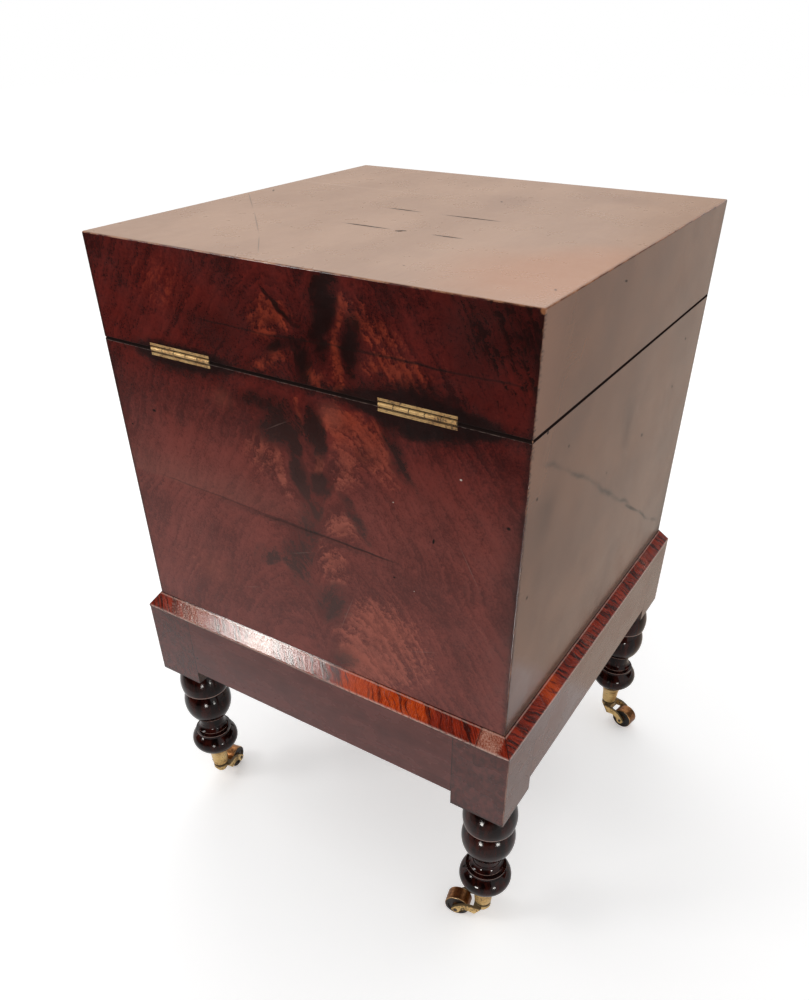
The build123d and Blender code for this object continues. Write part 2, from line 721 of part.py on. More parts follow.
os.makedirs("parts", exist_ok=True)
for name, shape in all_pieces().items():
    export_step(shape, "parts/%s.step" % name)
print("total height %.4f, seam %.4f, case bottom %.4f, pivot y %.4f" %
      (total_height, seam, case_bottom, pivot_y))
print("block bottom %.4f, leg bottom %.4f, bolt travel %.1f" % (block_bottom, leg_bottom, bolt_travel))
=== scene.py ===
"""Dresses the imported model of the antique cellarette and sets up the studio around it."""
import json
import math

import bpy
from mathutils import Euler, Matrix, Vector


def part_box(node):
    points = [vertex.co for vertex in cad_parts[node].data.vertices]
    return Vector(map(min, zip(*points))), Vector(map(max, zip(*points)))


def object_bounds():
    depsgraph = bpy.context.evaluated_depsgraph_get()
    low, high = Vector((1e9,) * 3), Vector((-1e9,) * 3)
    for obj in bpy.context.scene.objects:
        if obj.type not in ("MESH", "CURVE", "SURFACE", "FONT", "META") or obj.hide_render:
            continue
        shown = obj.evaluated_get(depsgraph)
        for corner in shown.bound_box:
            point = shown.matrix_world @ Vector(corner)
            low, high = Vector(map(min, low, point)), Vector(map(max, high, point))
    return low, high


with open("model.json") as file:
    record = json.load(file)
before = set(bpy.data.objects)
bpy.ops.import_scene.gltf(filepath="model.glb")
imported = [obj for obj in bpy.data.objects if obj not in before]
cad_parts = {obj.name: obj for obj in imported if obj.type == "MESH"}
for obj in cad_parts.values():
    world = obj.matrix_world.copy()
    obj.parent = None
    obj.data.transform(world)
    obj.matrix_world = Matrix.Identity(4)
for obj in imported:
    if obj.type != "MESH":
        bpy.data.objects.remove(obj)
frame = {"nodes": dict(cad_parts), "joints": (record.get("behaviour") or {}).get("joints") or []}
cad_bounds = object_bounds()
nodes = frame["nodes"]

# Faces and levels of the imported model, in millimetres
TOP = cad_bounds[1][2] * 1000
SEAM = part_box("lid_rim_rear")[0][2] * 1000
MOULDING_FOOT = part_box("stand_moulding_rear")[0][2] * 1000
MOULDING_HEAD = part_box("stand_moulding_rear")[1][2] * 1000
HALF_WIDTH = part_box("lid_top")[1][0] * 1000
HALF_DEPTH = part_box("lid_top")[1][1] * 1000
STAND_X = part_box("stand_moulding_rear")[1][0] * 1000
STAND_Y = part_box("stand_moulding_rear")[1][1] * 1000

# Refractive index of the polish
POLISH = 1.5
# Colours that several finishes share, as linear red, green and blue
# Dark, dull colour for grime, and for the painted shade in the seam
GRIME_AND_SHADE = (0.014, 0.008, 0.007)
EDGE_GRIME = (0.016, 0.006, 0.005)
OPEN_SEAM = (0.012, 0.006, 0.005)
CREVICE = (0.012, 0.005, 0.004)
# Dark edge wear, and also the painted shadow below the rear's ridge
WEAR_AND_SHADOW_DARK = (0.030, 0.012, 0.010)
RUSTY_DIRT = (0.015, 0.010, 0.008)
WINDOW_LIGHT = (1.0, 0.97, 0.93)
CARD_DARK = (0.012, 0.010, 0.010)
BLACK = (0.0, 0.0, 0.0)
# Crotch mahogany, near the head of a face and low on it
WOOD_DARK = (0.034, 0.0042, 0.0036), (0.088, 0.0155, 0.0120)
WOOD_LIT = (0.118, 0.0115, 0.0080), (0.190, 0.0385, 0.0285)
FLAME_DARK = (0.070, 0.0085, 0.0048), (0.150, 0.0290, 0.0190)
FLAME_LIT = (0.265, 0.0360, 0.0145), (0.330, 0.0840, 0.0540)
SPINE = (0.0085, 0.0030, 0.0026), (0.040, 0.0150, 0.0125)
TICK = (0.30, 0.055, 0.030), (0.42, 0.17, 0.12)
PORE = (0.012, 0.004, 0.003)
SPECK = (0.016, 0.005, 0.004)
# Marks on the rear, with painted shade patches and a painted shadow and highlight at a ridge
REAR_PAINTED_SHADE = (0.022, 0.0065, 0.0055)
WARMTH = (0.360, 0.0850, 0.0500)
RIDGE_LIGHT = (0.20, 0.075, 0.055)
HINGE_STAIN = (0.009, 0.0045, 0.004)
FLECK = (0.5, 0.42, 0.36)
HOLE = (0.010, 0.005, 0.004)
FINE_SCRATCH = (0.36, 0.26, 0.22)
# The quiet sides, the left one with painted shade, a painted reflection near its rear edge and a dark
# painted reflection at its foot
SIDE_WOOD = (0.105, 0.030, 0.012), (0.150, 0.048, 0.018)
SIDE_GRAIN = (0.060, 0.020, 0.013)
SIDE_RIPPLE = (0.190, 0.072, 0.035)
SIDE_PORE = (0.03, 0.012, 0.009)
SIDE_SHADOW = (0.050, 0.017, 0.014)
DEEP_SCRATCH = (0.022, 0.010, 0.008)
KNOCK = (0.018, 0.008, 0.008)
SIDE_SHEEN = (0.25, 0.105, 0.060)
RUB = (0.26, 0.15, 0.11)
# The faded top, its wood tone lifted in part as painted reflection of the polish
TOP_WOOD_WITH_SHEEN = (0.355, 0.190, 0.112), (0.430, 0.245, 0.152)
TOP_GRAIN = (0.22, 0.105, 0.062)
TOP_SHADOW = (0.23, 0.105, 0.070)
TOP_ORANGE = (0.44, 0.165, 0.060)
TOP_CRACK = (0.045, 0.022, 0.014)
TOP_HAIR = (0.12, 0.075, 0.05)
TOP_NICK = (0.10, 0.05, 0.035)
TOP_STRIP = (0.55, 0.37, 0.27)
TOP_RIM = (0.24, 0.115, 0.065)
# Pale line on the top's rounded edges: painted highlight with wear
TOP_ARRIS_SHEEN_AND_WEAR = (0.45, 0.20, 0.10)
BARE_CORNER = (0.34, 0.13, 0.055)
# Bare timber, edges of boards, painted shade in the gap below the lid and a painted highlight along it
TIMBER = (0.20, 0.085, 0.045), (0.34, 0.16, 0.088)
TIMBER_PORE = (0.09, 0.035, 0.02)
ARRIS = (0.30, 0.13, 0.07)
SEAM_SHADE = (0.005, 0.003, 0.003)
SEAM_HIGHLIGHT_AND_RUB = (0.26, 0.19, 0.16)
# Crossbanding: quiet, vivid and worn pale, each with its figure
BAND_WOOD = (0.120, 0.0095, 0.004), (0.300, 0.026, 0.008)
BAND_FIGURE = (0.024, 0.005, 0.004)
FIRE = (0.290, 0.018, 0.002), (0.620, 0.082, 0.007)
FIRE_FIGURE = (0.060, 0.007, 0.004)
DUSTY = (0.250, 0.052, 0.026), (0.520, 0.270, 0.195)
DUSTY_FIGURE = (0.150, 0.028, 0.014)
BAND_STRIPE = (0.022, 0.006, 0.005)
# Pale lines at the moulding's edges: painted highlight with wear
BAND_LIP_SHEEN_AND_WEAR = (0.56, 0.40, 0.34)
BAND_CREST_SHEEN_AND_WEAR = (0.50, 0.32, 0.26)
BAND_HEAD = (0.008, 0.004, 0.004)
# Stand and legs
STAND_WOOD = (0.078, 0.0160, 0.0125), (0.126, 0.0310, 0.0250)
# Lighter tone painted on the stand's faces that point along x, as light falling there
STAND_SIDE_LIT = (0.130, 0.050, 0.028), (0.165, 0.070, 0.042)
STAND_GRAIN = (0.045, 0.012, 0.010)
STAND_FIBRE = (0.15, 0.065, 0.055)
BLOTCH = (0.022, 0.010, 0.009)
# Nearly black timber, painted as shade on hidden and inner faces
TIMBER_IN_SHADE = (0.016, 0.008, 0.007)
STAND_FOOT = (0.020, 0.009, 0.008)
STAND_ARRIS = (0.30, 0.16, 0.12)
STAND_NICK = (0.020, 0.010, 0.009)
LEG_WOOD = (0.0040, 0.0014, 0.0012), (0.040, 0.0068, 0.0042)
LEG_LIP_GLINT_AND_WEAR = (0.46, 0.30, 0.25)
# Castor wheels and the lining
WHEEL_BRASS = (0.36, 0.165, 0.062), (0.150, 0.058, 0.024)
WHEEL_SPOT = (0.022, 0.013, 0.010)
WHEEL_RIM = (0.66, 0.46, 0.24)
WHEEL_SHADE_AND_GREASE = (0.005, 0.004, 0.0035)
ZINC = (0.30, 0.31, 0.32), (0.50, 0.51, 0.51)
ZINC_BLOOM = (0.62, 0.62, 0.60)


class Signal:
    """A value that varies over a surface. Arithmetic on it adds Math nodes to its finish."""

    def __init__(self, finish, socket):
        self.finish = finish
        self.socket = socket

    def __add__(self, other):
        return self.finish.math("ADD", self, other)

    def __radd__(self, other):
        return self.finish.math("ADD", other, self)

    def __sub__(self, other):
        return self.finish.math("SUBTRACT", self, other)

    def __rsub__(self, other):
        return self.finish.math("SUBTRACT", other, self)

    def __mul__(self, other):
        return self.finish.math("MULTIPLY", self, other)

    def __rmul__(self, other):
        return self.finish.math("MULTIPLY", other, self)

    def __pow__(self, other):
        return self.finish.math("POWER", self, other)

    def __abs__(self):
        return self.finish.math("ABSOLUTE", self)


class Finish:
    """One material, built node by node."""

    def __init__(self, name, owner=None):
        self.material = owner or bpy.data.materials.new(name)
        self.material.use_nodes = True
        self.tree = self.material.node_tree
        self.tree.nodes.clear()

    def node(self, kind, settings, values, output=0):
        """Adds a node: its settings first, then the values or links of its sockets."""
        made = self.tree.nodes.new(kind)
        for name, value in settings.items():
            setattr(made, name, value)
        for name, value in values.items():
            socket = made.inputs[name]
            if isinstance(value, Signal):
                self.tree.links.new(value.socket, socket)
            elif socket.type == "RGBA" and len(value) == 3:
                socket.default_value = (*value, 1.0)
            else:
                socket.default_value = value
        if isinstance(output, tuple):
            return [Signal(self, made.outputs[name]) for name in output]
        return Signal(self, made.outputs[output])

    def math(self, operation, *values, clamp=False):
        return self.node("ShaderNodeMath", {"operation": operation, "use_clamp": clamp},
                         dict(enumerate(values)))

    def vector(self, operation, *values, **named):
        return self.node("ShaderNodeVectorMath", {"operation": operation},
                         {**dict(enumerate(values)), **named})

    def join(self, x, y, z=0.0):
        return self.node("ShaderNodeCombineXYZ", {}, {0: x, 1: y, 2: z})

    def split(self, vector):
        return self.node("ShaderNodeSeparateXYZ", {}, {0: vector}, ("X", "Y", "Z"))

    def place(self):
        """Where on the cellarette at rest, in millimetres."""
        point = self.node("ShaderNodeTexCoord", {}, {}, "Object")
        return self.vector("SCALE", point, Scale=1000.0)

    def facing(self):
        """Which way the surface faces, turning with the piece."""
        return self.split(self.node("ShaderNodeTexCoord", {}, {}, "Normal"))

    def smooth(self, value, start, end, low=0.0, high=1.0):
        return self.node("ShaderNodeMapRange", {"interpolation_type": "SMOOTHSTEP"},
                         {"Value": value, "From Min": start, "From Max": end, "To Min": low,
                          "To Max": high})

    def mix(self, factor, under, over):
        return self.node("ShaderNodeMix", {"data_type": "RGBA", "clamp_factor": True},
                         {0: factor, 6: under, 7: over}, 2)

    def noise(self, vector, scale, detail=2.0, roughness=0.5):
        return self.node("ShaderNodeTexNoise", {},
                         {"Vector": vector, "Scale": scale, "Detail": detail, "Roughness": roughness})

    def stretched(self, x, y, z, scales, detail=2.0, roughness=0.5):
        """Noise with its own scale along each direction, per millimetre."""
        return self.noise(self.join(x * scales[0], y * scales[1], z * scales[2] if scales[2] else 0.0),
                          1.0, detail, roughness)

    def cells(self, vector, scale, feature="F1"):
        return self.node("ShaderNodeTexVoronoi", {"feature": feature}, {"Vector": vector, "Scale": scale},
                         "Distance")

    def spot(self, point, centre, reach, turn=0.0):
        """1 in the middle of an ellipse, falling evenly to 0 at its rim."""
        local = self.node("ShaderNodeMapping", {"vector_type": "TEXTURE"},
                          {"Vector": point, "Location": (*centre, 0.0),
                           "Rotation": (0, 0, math.radians(turn)), "Scale": (*reach, 1.0)})
        return self.node("ShaderNodeTexGradient", {"gradient_type": "SPHERICAL"}, {"Vector": local}, 1)

    def spots(self, point, rows):
        """The sum of several spots: centre, centre, reach, reach, turn, weight."""
        total = 0.0
        for across, down, wide, high, turn, weight in rows:
            total = self.spot(point, (across, down), (wide, high), turn) * weight + total
        return total

    def line(self, point, start, end, half_width):
        """1 on a straight line between two points, falling to 0 beside it."""
        dx, dy = end[0] - start[0], end[1] - start[1]
        middle = ((start[0] + end[0]) / 2, (start[1] + end[1]) / 2)
        reach = (math.hypot(dx, dy) / 2, half_width)
        return self.spot(point, middle, reach, math.degrees(math.atan2(dy, dx)))

    def bump(self, height, strength, distance, under=None):
        values = {"Height": height, "Strength": strength, "Distance": distance}
        if under is not None:
            values["Normal"] = under
        return self.node("ShaderNodeBump", {}, values)

    def under_polish(self, relief, strength):
        """Fine relief over the slow swell of an old board."""
        swell = self.noise(self.place(), 0.012, 2.0, 0.5)
        return self.bump(relief, strength, 0.0004, self.bump(swell, 0.35, 0.0015))

    def smeared(self):
        """The uneven gloss of old polish, as a roughness."""
        return self.smooth(self.noise(self.place(), 0.02, 4.0, 0.7), 0.3, 0.75, 0.16, 0.25)

    def from_edge(self, along, length):
        """How far from the nearer end of a face, in millimetres."""
        return self.math("MINIMUM", along, length - along)

    def done(self, grime=None, **sockets):
        """Closes the finish with one shader, lightless where grime or painted shade is 1, and gives its
        material.
        """
        named = {name.replace("_", " "): value for name, value in sockets.items()}
        shader = self.node("ShaderNodeBsdfPrincipled", {}, named, "BSDF")
        if grime is not None:
            dull = self.node("ShaderNodeBsdfPrincipled", {},
                             {"Base Color": GRIME_AND_SHADE, "Roughness": 1.0, "Specular IOR Level": 0.0}, "BSDF")
            shader = self.node("ShaderNodeMixShader", {}, {0: grime, 1: shader, 2: dull}, "Shader")
        end = self.tree.nodes.new("ShaderNodeOutputMaterial")
        self.tree.links.new(shader.socket, end.inputs["Surface"])
        return self.material


# ---- Veneers ----

# Patches on a face: middle across and down, reach both ways, turn in degrees, weight. Millimetres
# from the face's left edge, seen from outside, and from the top. Placed one by one from the photograph.
REAR_SHADOWS = [
    (276, 34, 20, 56, 10, 1.25), (306, 58, 17, 40, 4, 1.15), (252, 80, 12, 30, -6, 0.9),
    (235, 36, 36, 5, 38, 0.9), (228, 68, 34, 11, -22, 0.75), (222, 146, 44, 26, -24, 1.15),
    (260, 136, 15, 34, 3, 1.4), (205, 122, 48, 16, -8, 0.8), (236, 182, 13, 36, -4, 1.2),
    (263, 190, 19, 20, 12, 1.1), (248, 222, 20, 46, 0, 0.75), (302, 216, 40, 13, 52, 0.8),
    (229, 282, 26, 56, 5, 0.85), (186, 291, 44, 17, -20, 0.7), (268, 326, 34, 42, 30, 0.85),
    (276, 394, 32, 20, -20, 0.7), (352, 146, 56, 15, 52, 0.75), (160, 62, 90, 50, -10, 0.35),
    (480, 20, 150, 90, 0, 0.68), (455, 130, 60, 80, 0, 0.20),
]
REAR_FLAMES = [
    (222, 46, 38, 22, -25, 0.95), (214, 82, 40, 16, -18, 0.7), (262, 87, 22, 13, 0, 0.8),
    (290, 66, 10, 56, 4, 1.1), (326, 38, 56, 20, 28, 0.7), (344, 70, 48, 18, -4, 0.9),
    (284, 120, 24, 17, 10, 1.5), (326, 142, 52, 22, 50, 1.1), (292, 162, 28, 44, 4, 0.8),
    (259, 168, 8, 22, 3, 1.2), (198, 178, 36, 34, -10, 0.6), (217, 192, 7, 34, -14, 0.9),
    (282, 228, 34, 17, 4, 1.1), (268, 274, 26, 38, -14, 0.8), (322, 366, 74, 70, 0, 0.85),
    (300, 392, 44, 34, 0, 0.8), (243, 124, 6, 24, -3, 1.0), (352, 330, 90, 90, 0, 0.3),
    (90, 35, 110, 60, 0, 0.25), (70, 340, 130, 90, 0, 0.2),
]
# Painted shade: patches darkened on the rear, the widest along its right edge
REAR_SHADE_PATCHES = [
    (476, 250, 46, 170, 0, 1.2), (0, 130, 44, 60, 0, 0.7), (262, 172, 30, 26, 0, 0.8),
    (312, 152, 20, 20, 0, 0.9), (195, 182, 18, 20, 0, 0.6), (235, 190, 14, 16, 0, 0.8),
]
REAR_WARMTH = [
    (300, 385, 60, 24, 0, 1.0), (325, 330, 50, 30, 0, 0.9), (280, 120, 22, 20, 0, 1.2),
    (100, 340, 60, 40, 0, 0.7), (150, 130, 26, 20, 0, 0.7),
]
REAR_HINGE_STAINS = [(100, 102, 80, 26, 0, 1.5), (368, 96, 92, 40, 0, 1.5), (372, 104, 60, 22, 0, 0.8)]
REAR_FLECKS = [(410, 146, 1.5, 1.1, 0, 3), (343, 186, 1.0, 0.8, 0, 2), (365, 274, 1.0, 0.8, 0, 1.5)]
REAR_HOLES = [
    (343, 266, 1.5, 1.2, 0, 4), (385, 213, 1.4, 3.2, 10, 3), (14, 187, 1.6, 1.2, 0, 3),
    (26, 120, 1.4, 1.2, 0, 3), (52, 164, 4.5, 2.6, 0, 1.4), (456, 178, 3.0, 2.4, 0, 1.6),
]
REAR_SCRATCHES = [
    ((196, 153), (236, 132)), ((352, 352), (398, 334)), ((136, 352), (176, 338)),
    ((300, 292), (268, 372)), ((404, 196), (440, 262)), ((210, 284), (252, 268)),
]
# Cracks across the rear: start, end, how far down at each, weight
REAR_CRACK_LOW = [(40, 345, 238, 249, 0.35), (175, 345, 245, 249, 0.45)]
REAR_CRACK_HIGH = [(130, 470, 60, 57, 0.5), (300, 400, 57, 57, 0.4)]
# The front face, hidden in the photograph: a plainer flame of the same kind
FRONT_SHADOWS = [
    (236, 30, 16, 70, 4, 1.2), (226, 150, 22, 60, -5, 1.1), (262, 120, 34, 16, 40, 0.8),
    (196, 210, 46, 20, -40, 0.8), (240, 300, 24, 80, 3, 0.9), (300, 240, 50, 18, 45, 0.7),
    (150, 120, 60, 20, -50, 0.5),
]
FRONT_FLAMES = [
    (212, 60, 24, 34, -20, 1.0), (262, 66, 22, 36, 16, 0.9), (205, 130, 26, 30, -25, 1.0),
    (268, 180, 34, 40, 30, 0.9), (190, 280, 50, 60, -20, 0.7), (300, 330, 70, 60, 0, 0.7),
    (160, 370, 60, 50, 0, 0.5),
]
# The long scratch on the left side: start, end, half width, weight
SIDE_SCRATCH = [
    ((14, 122), (76, 150), 5.0, 0.6), ((50, 139), (176, 210), 5.0, 0.7),
    ((140, 190), (262, 272), 5.5, 0.8), ((230, 249), (310, 296), 4.5, 0.8),
    ((268, 276), (344, 322), 3.0, 1.3), ((322, 306), (406, 364), 3.5, 0.9),
    ((390, 352), (456, 390), 5.0, 0.7),
]
SIDE_SHADE = [
    (240, 176, 26, 60, -8, 0.8), (205, 150, 22, 40, -10, 0.4), (46, 176, 50, 44, 20, 0.8),
    (255, 330, 60, 50, 0, 0.4), (170, 300, 40, 24, 30, 0.4), (40, 240, 30, 60, 0, 0.45),
    (300, 70, 50, 18, -30, 0.35), (462, 370, 50, 110, 0, 0.9), (300, 240, 40, 30, 0, 0.2),
]
SIDE_DOTS = [
    (28, 101, 2.8, 2.0, 0, 2.5), (78, 132, 2.4, 1.8, 0, 2), (20, 156, 2.4, 1.8, 0, 2.5),
    (20, 254, 3.0, 2.2, 0, 2.5), (193, 206, 2.4, 1.6, 20, 2), (296, 205, 3.4, 2.2, 20, 2.5),
    (385, 180, 4.0, 1.8, 20, 2), (403, 131, 3.6, 2.2, 20, 2), (165, 18, 5.0, 1.4, 12, 2),
]
SIDE_RUBS = [((276, 180), (252, 150), 3.0), ((232, 196), (262, 216), 2.2)]
# The top, from the +X edge and from the front edge
TOP_SHADE = [
    (275, 130, 60, 70, 0, 0.8), (380, 60, 120, 60, 0, 0.6), (205, 395, 30, 46, 10, 0.35),
    (300, 190, 50, 60, 0, 0.4),
]
TOP_GLOW = [(430, 400, 130, 150, -30, 1.2), (460, 300, 70, 160, 0, 0.6)]
TOP_CRACKS = [
    ((170, 227), (240, 229), 0.9), ((232, 229), (336, 228), 1.0), ((172, 310), (258, 312), 1.0),
    ((250, 313), (262, 309), 1.0), ((278, 311), (330, 311), 0.9),
]
TOP_CHIP = [(253, 314, 5.5, 3.4, 0, 1.4)]
TOP_HAIRLINE = [((-6, 226), (76, 311), 0.9), ((70, 304), (156, 396), 0.9), ((150, 389), (204, 454), 0.8)]
TOP_NICKS = [
    (18, 210, 9, 1.6, 55, 1.2), (270, 138, 6, 2.0, 60, 1.0), (457, 420, 3.5, 1.6, 60, 1.0),
    (325, 418, 3, 1.4, 30, 0.8),
]


def warped(f, across, down, seed, reach):
    """The face's coordinates, pushed about so that no patch has an even edge."""
    far = f.stretched(across, down, 1.0, (0.022, 0.022, seed), 3.0, 0.6)
    near = f.stretched(across, down, 1.0, (0.02, 0.022, seed + 7.3), 3.0, 0.6)
    return across + (far - 0.5) * reach, down + (near - 0.5) * reach


def fountain(f, across, down, spine):
    """Fibres that leave the spine steeply and arch over: which fibre, and how far out along it."""
    out = f.math("SQRT", (across - spine) ** 2 + 9.0)
    droop = f.math("EXPONENT", out * (-1 / 30.0))
    return down - out * 1.6 + (1.0 - droop) * 150.0, out


def crack(f, across, down, spans, seed):
    """A hairline across the face that wanders a little: its darkness."""
    wander = f.stretched(across, down, 1.0, (0.02, 0.0001, seed), 2.0) * 7.0
    total = 0.0
    for start, end, level_start, level_end, weight in spans:
        slope = (level_end - level_start) / (end - start)
        off = abs(down + wander - 3.5 - ((across - start) * slope + level_start))
        near = f.smooth(off, 1.6, 0.0)
        within = f.smooth(across, start - 12, start + 25) * f.smooth(across, end + 12, end - 25)
        total = near * within * weight + total
    return total


def flame_veneer(f, across, down, shadows, flames, seed):
    """Crotch mahogany: a dark spine with feathered flames. Gives its colour and its relief."""
    bent_x, bent_y = warped(f, across, down, seed, 26.0)
    sway = f.stretched(down, 1.0, 1.0, (0.010, seed, 0), 2.0)
    tremble = f.stretched(across, down, 1.0, (0.009, 0.009, seed + 2), 2.0)
    fibre, out = fountain(f, across + (tremble - 0.5) * 22.0, down, sway * 40.0 + 232.0)
    grit = f.stretched(across, down, 1.0, (0.42, 0.42, seed + 1), 5.0, 0.80)
    mottle = f.stretched(across, down, 1.0, (0.14, 0.14, seed), 5.0, 0.72)
    fibre = fibre + (mottle - 0.5) * 26.0 + (grit - 0.5) * 6.0
    streak = f.stretched(fibre, out, 1.0, (0.10, 0.022, seed), 4.0, 0.62)
    thread = f.stretched(fibre, out, 1.0, (0.42, 0.045, seed + 3), 3.0, 0.65)
    cloud = f.stretched(across, down, 1.0, (0.013, 0.015, seed + 6), 3.0, 0.55)
    feather = (streak - 0.5) * 2.2 + (thread - 0.5) * 1.5 + (mottle - 0.5) * 2.0 + (grit - 0.5) * 1.4
    tone = (streak - 0.5) + (thread - 0.5) * 0.8 + (grit - 0.5) * 1.5 + (mottle - 0.5) * 0.8 \
        + (cloud - 0.5) * 1.2
    point = f.join(bent_x, bent_y)
    shadow, flame = f.spots(point, shadows), f.spots(point, flames)
    dark = f.smooth(shadow + feather * f.smooth(shadow, 0.0, 0.45) * 0.70, 0.16, 0.74)
    light = f.smooth(flame + feather * f.smooth(flame, 0.0, 0.40) * 0.75, 0.16, 0.80)
    low = f.smooth(down, 90.0, 225.0)
    base = f.mix(f.smooth(tone, -0.42, 0.42), f.mix(low, *WOOD_DARK), f.mix(low, *WOOD_LIT))
    glow = f.mix(f.smooth(feather, -0.60, 0.60), f.mix(low, *FLAME_DARK), f.mix(low, *FLAME_LIT))
    colour = f.mix(light * 0.85, base, glow)
    colour = f.mix(dark * 0.92, colour, f.mix(low, *SPINE))
    pores = f.smooth(f.stretched(fibre, out, 1.0, (2.3, 0.10, seed + 9), 2.0, 0.6), 0.58, 0.72)
    colour = f.mix(pores * 0.35, colour, PORE)
    ticks = f.smooth(f.stretched(fibre, out, 1.0, (0.7, 0.045, seed + 5), 3.0, 0.6), 0.60, 0.78)
    colour = f.mix(ticks * (0.16 - dark * 0.08), colour, f.mix(low, *TICK))
    speck = f.smooth(grit, 0.56, 0.70)
    colour = f.mix(speck * (light * 0.30 + 0.30), colour, SPECK)
    relief = thread * 0.5 + pores * -0.6 + mottle * 0.4
    return colour, relief


def rear_veneer(f, x, z):
    """The face that the photograph shows best. Gives its colour, its relief and how grimy it is."""
    across, down = HALF_WIDTH - x, TOP - z
    point = f.join(across, down)
    colour, relief = flame_veneer(f, across, down, REAR_SHADOWS, REAR_FLAMES, 1.7)
    # Painted shade in patches
    colour = f.mix(f.smooth(f.spots(point, REAR_SHADE_PATCHES), 0.05, 1.1) * 0.55, colour, REAR_PAINTED_SHADE)
    colour = f.mix(f.smooth(f.spots(point, REAR_WARMTH), 0.05, 1.1) * 0.30, colour, WARMTH)
    split_low = crack(f, across, down, REAR_CRACK_LOW, 4.1)
    split_high = crack(f, across, down, REAR_CRACK_HIGH, 8.6)
    # Painted shadow: a soft dark line along the lower crack
    crack_shadow = f.smooth(abs(down - across * 0.036 - 240.0), 5.5, 0.5)
    crack_shadow = crack_shadow * f.smooth(across, 60, 180) * f.smooth(across, 360, 300)
    colour = f.mix(crack_shadow * 0.30, colour, WEAR_AND_SHADOW_DARK)
    colour = f.mix(split_low + split_high, colour, OPEN_SEAM)
    # Painted highlight: a lighter band on the ridge above the lower crack
    lit_ridge = f.smooth(down, 196, 236) * f.smooth(down, 244, 238) * f.smooth(across, 330, 120)
    colour = f.mix(lit_ridge * 0.22, colour, RIDGE_LIGHT)
    grime = f.stretched(across, down, 1.0, (0.09, 0.12, 2.2), 3.0, 0.6)
    beside_seam = f.smooth(abs(down - (TOP - SEAM)), 15, 2) * f.smooth(across, 60, 200, 0.35, 0.7)
    stain = f.spots(point, REAR_HINGE_STAINS) + beside_seam
    frayed = (grime - 0.5) * f.smooth(stain, 0.0, 0.5) * 0.9
    colour = f.mix(f.smooth(stain + frayed, 0.25, 1.1) * 0.9, colour, HINGE_STAIN)
    edge = f.smooth(f.from_edge(across, 2 * HALF_WIDTH) + (grime - 0.5) * 8, 7, 0)
    colour = f.mix(edge * 0.6, colour, EDGE_GRIME)
    colour = f.mix(f.smooth(f.spots(point, REAR_FLECKS), 0.3, 1.2), colour, FLECK)
    holes = f.smooth(f.spots(point, REAR_HOLES), 0.3, 1.2)
    colour = f.mix(holes, colour, HOLE)
    scratch = 0.0
    for start, end in REAR_SCRATCHES:
        scratch = f.line(point, start, end, 0.8) * 0.9 + scratch
    colour = f.mix(f.smooth(scratch, 0.1, 0.9) * 0.16, colour, FINE_SCRATCH)
    marks = split_low * 0.35 + split_high * 0.25 + holes * 0.6
    return colour, relief - (split_low + split_high) * 2.0, marks


def front_veneer(f, x, z):
    """The hidden front."""
    across, down = x + HALF_WIDTH, TOP - z
    colour, relief = flame_veneer(f, across, down, FRONT_SHADOWS, FRONT_FLAMES, 5.3)
    edge = f.smooth(f.from_edge(across, 2 * HALF_WIDTH), 7, 0)
    return f.mix(edge * 0.5, colour, EDGE_GRIME), relief, 0.0


def quiet_veneer(f, along, down, seed):
    """The plainer mahogany of the sides, with faint ripples and pores."""
    fine = f.stretched(along, down, 1.0, (0.05, 0.6, seed), 3.0, 0.65)
    cloud = f.stretched(along, down, 1.0, (0.011, 0.014, seed), 3.0, 0.55)
    ripple = f.stretched(along + down * 0.5, down, 1.0, (0.085, 0.012, seed + 4), 3.0, 0.6)
    base = f.mix(f.smooth(cloud, 0.3, 0.7), *SIDE_WOOD)
    colour = f.mix(f.smooth(fine, 0.4, 0.8) * 0.35, base, SIDE_GRAIN)
    colour = f.mix(f.smooth(ripple, 0.5, 0.8) * 0.35, colour, SIDE_RIPPLE)
    pores = f.smooth(f.stretched(along, down, 1.0, (0.10, 2.2, seed + 9), 2.0, 0.6), 0.62, 0.8)
    return f.mix(pores * 0.25, colour, SIDE_PORE), fine * 0.5 + cloud * 0.6 - pores * 0.4


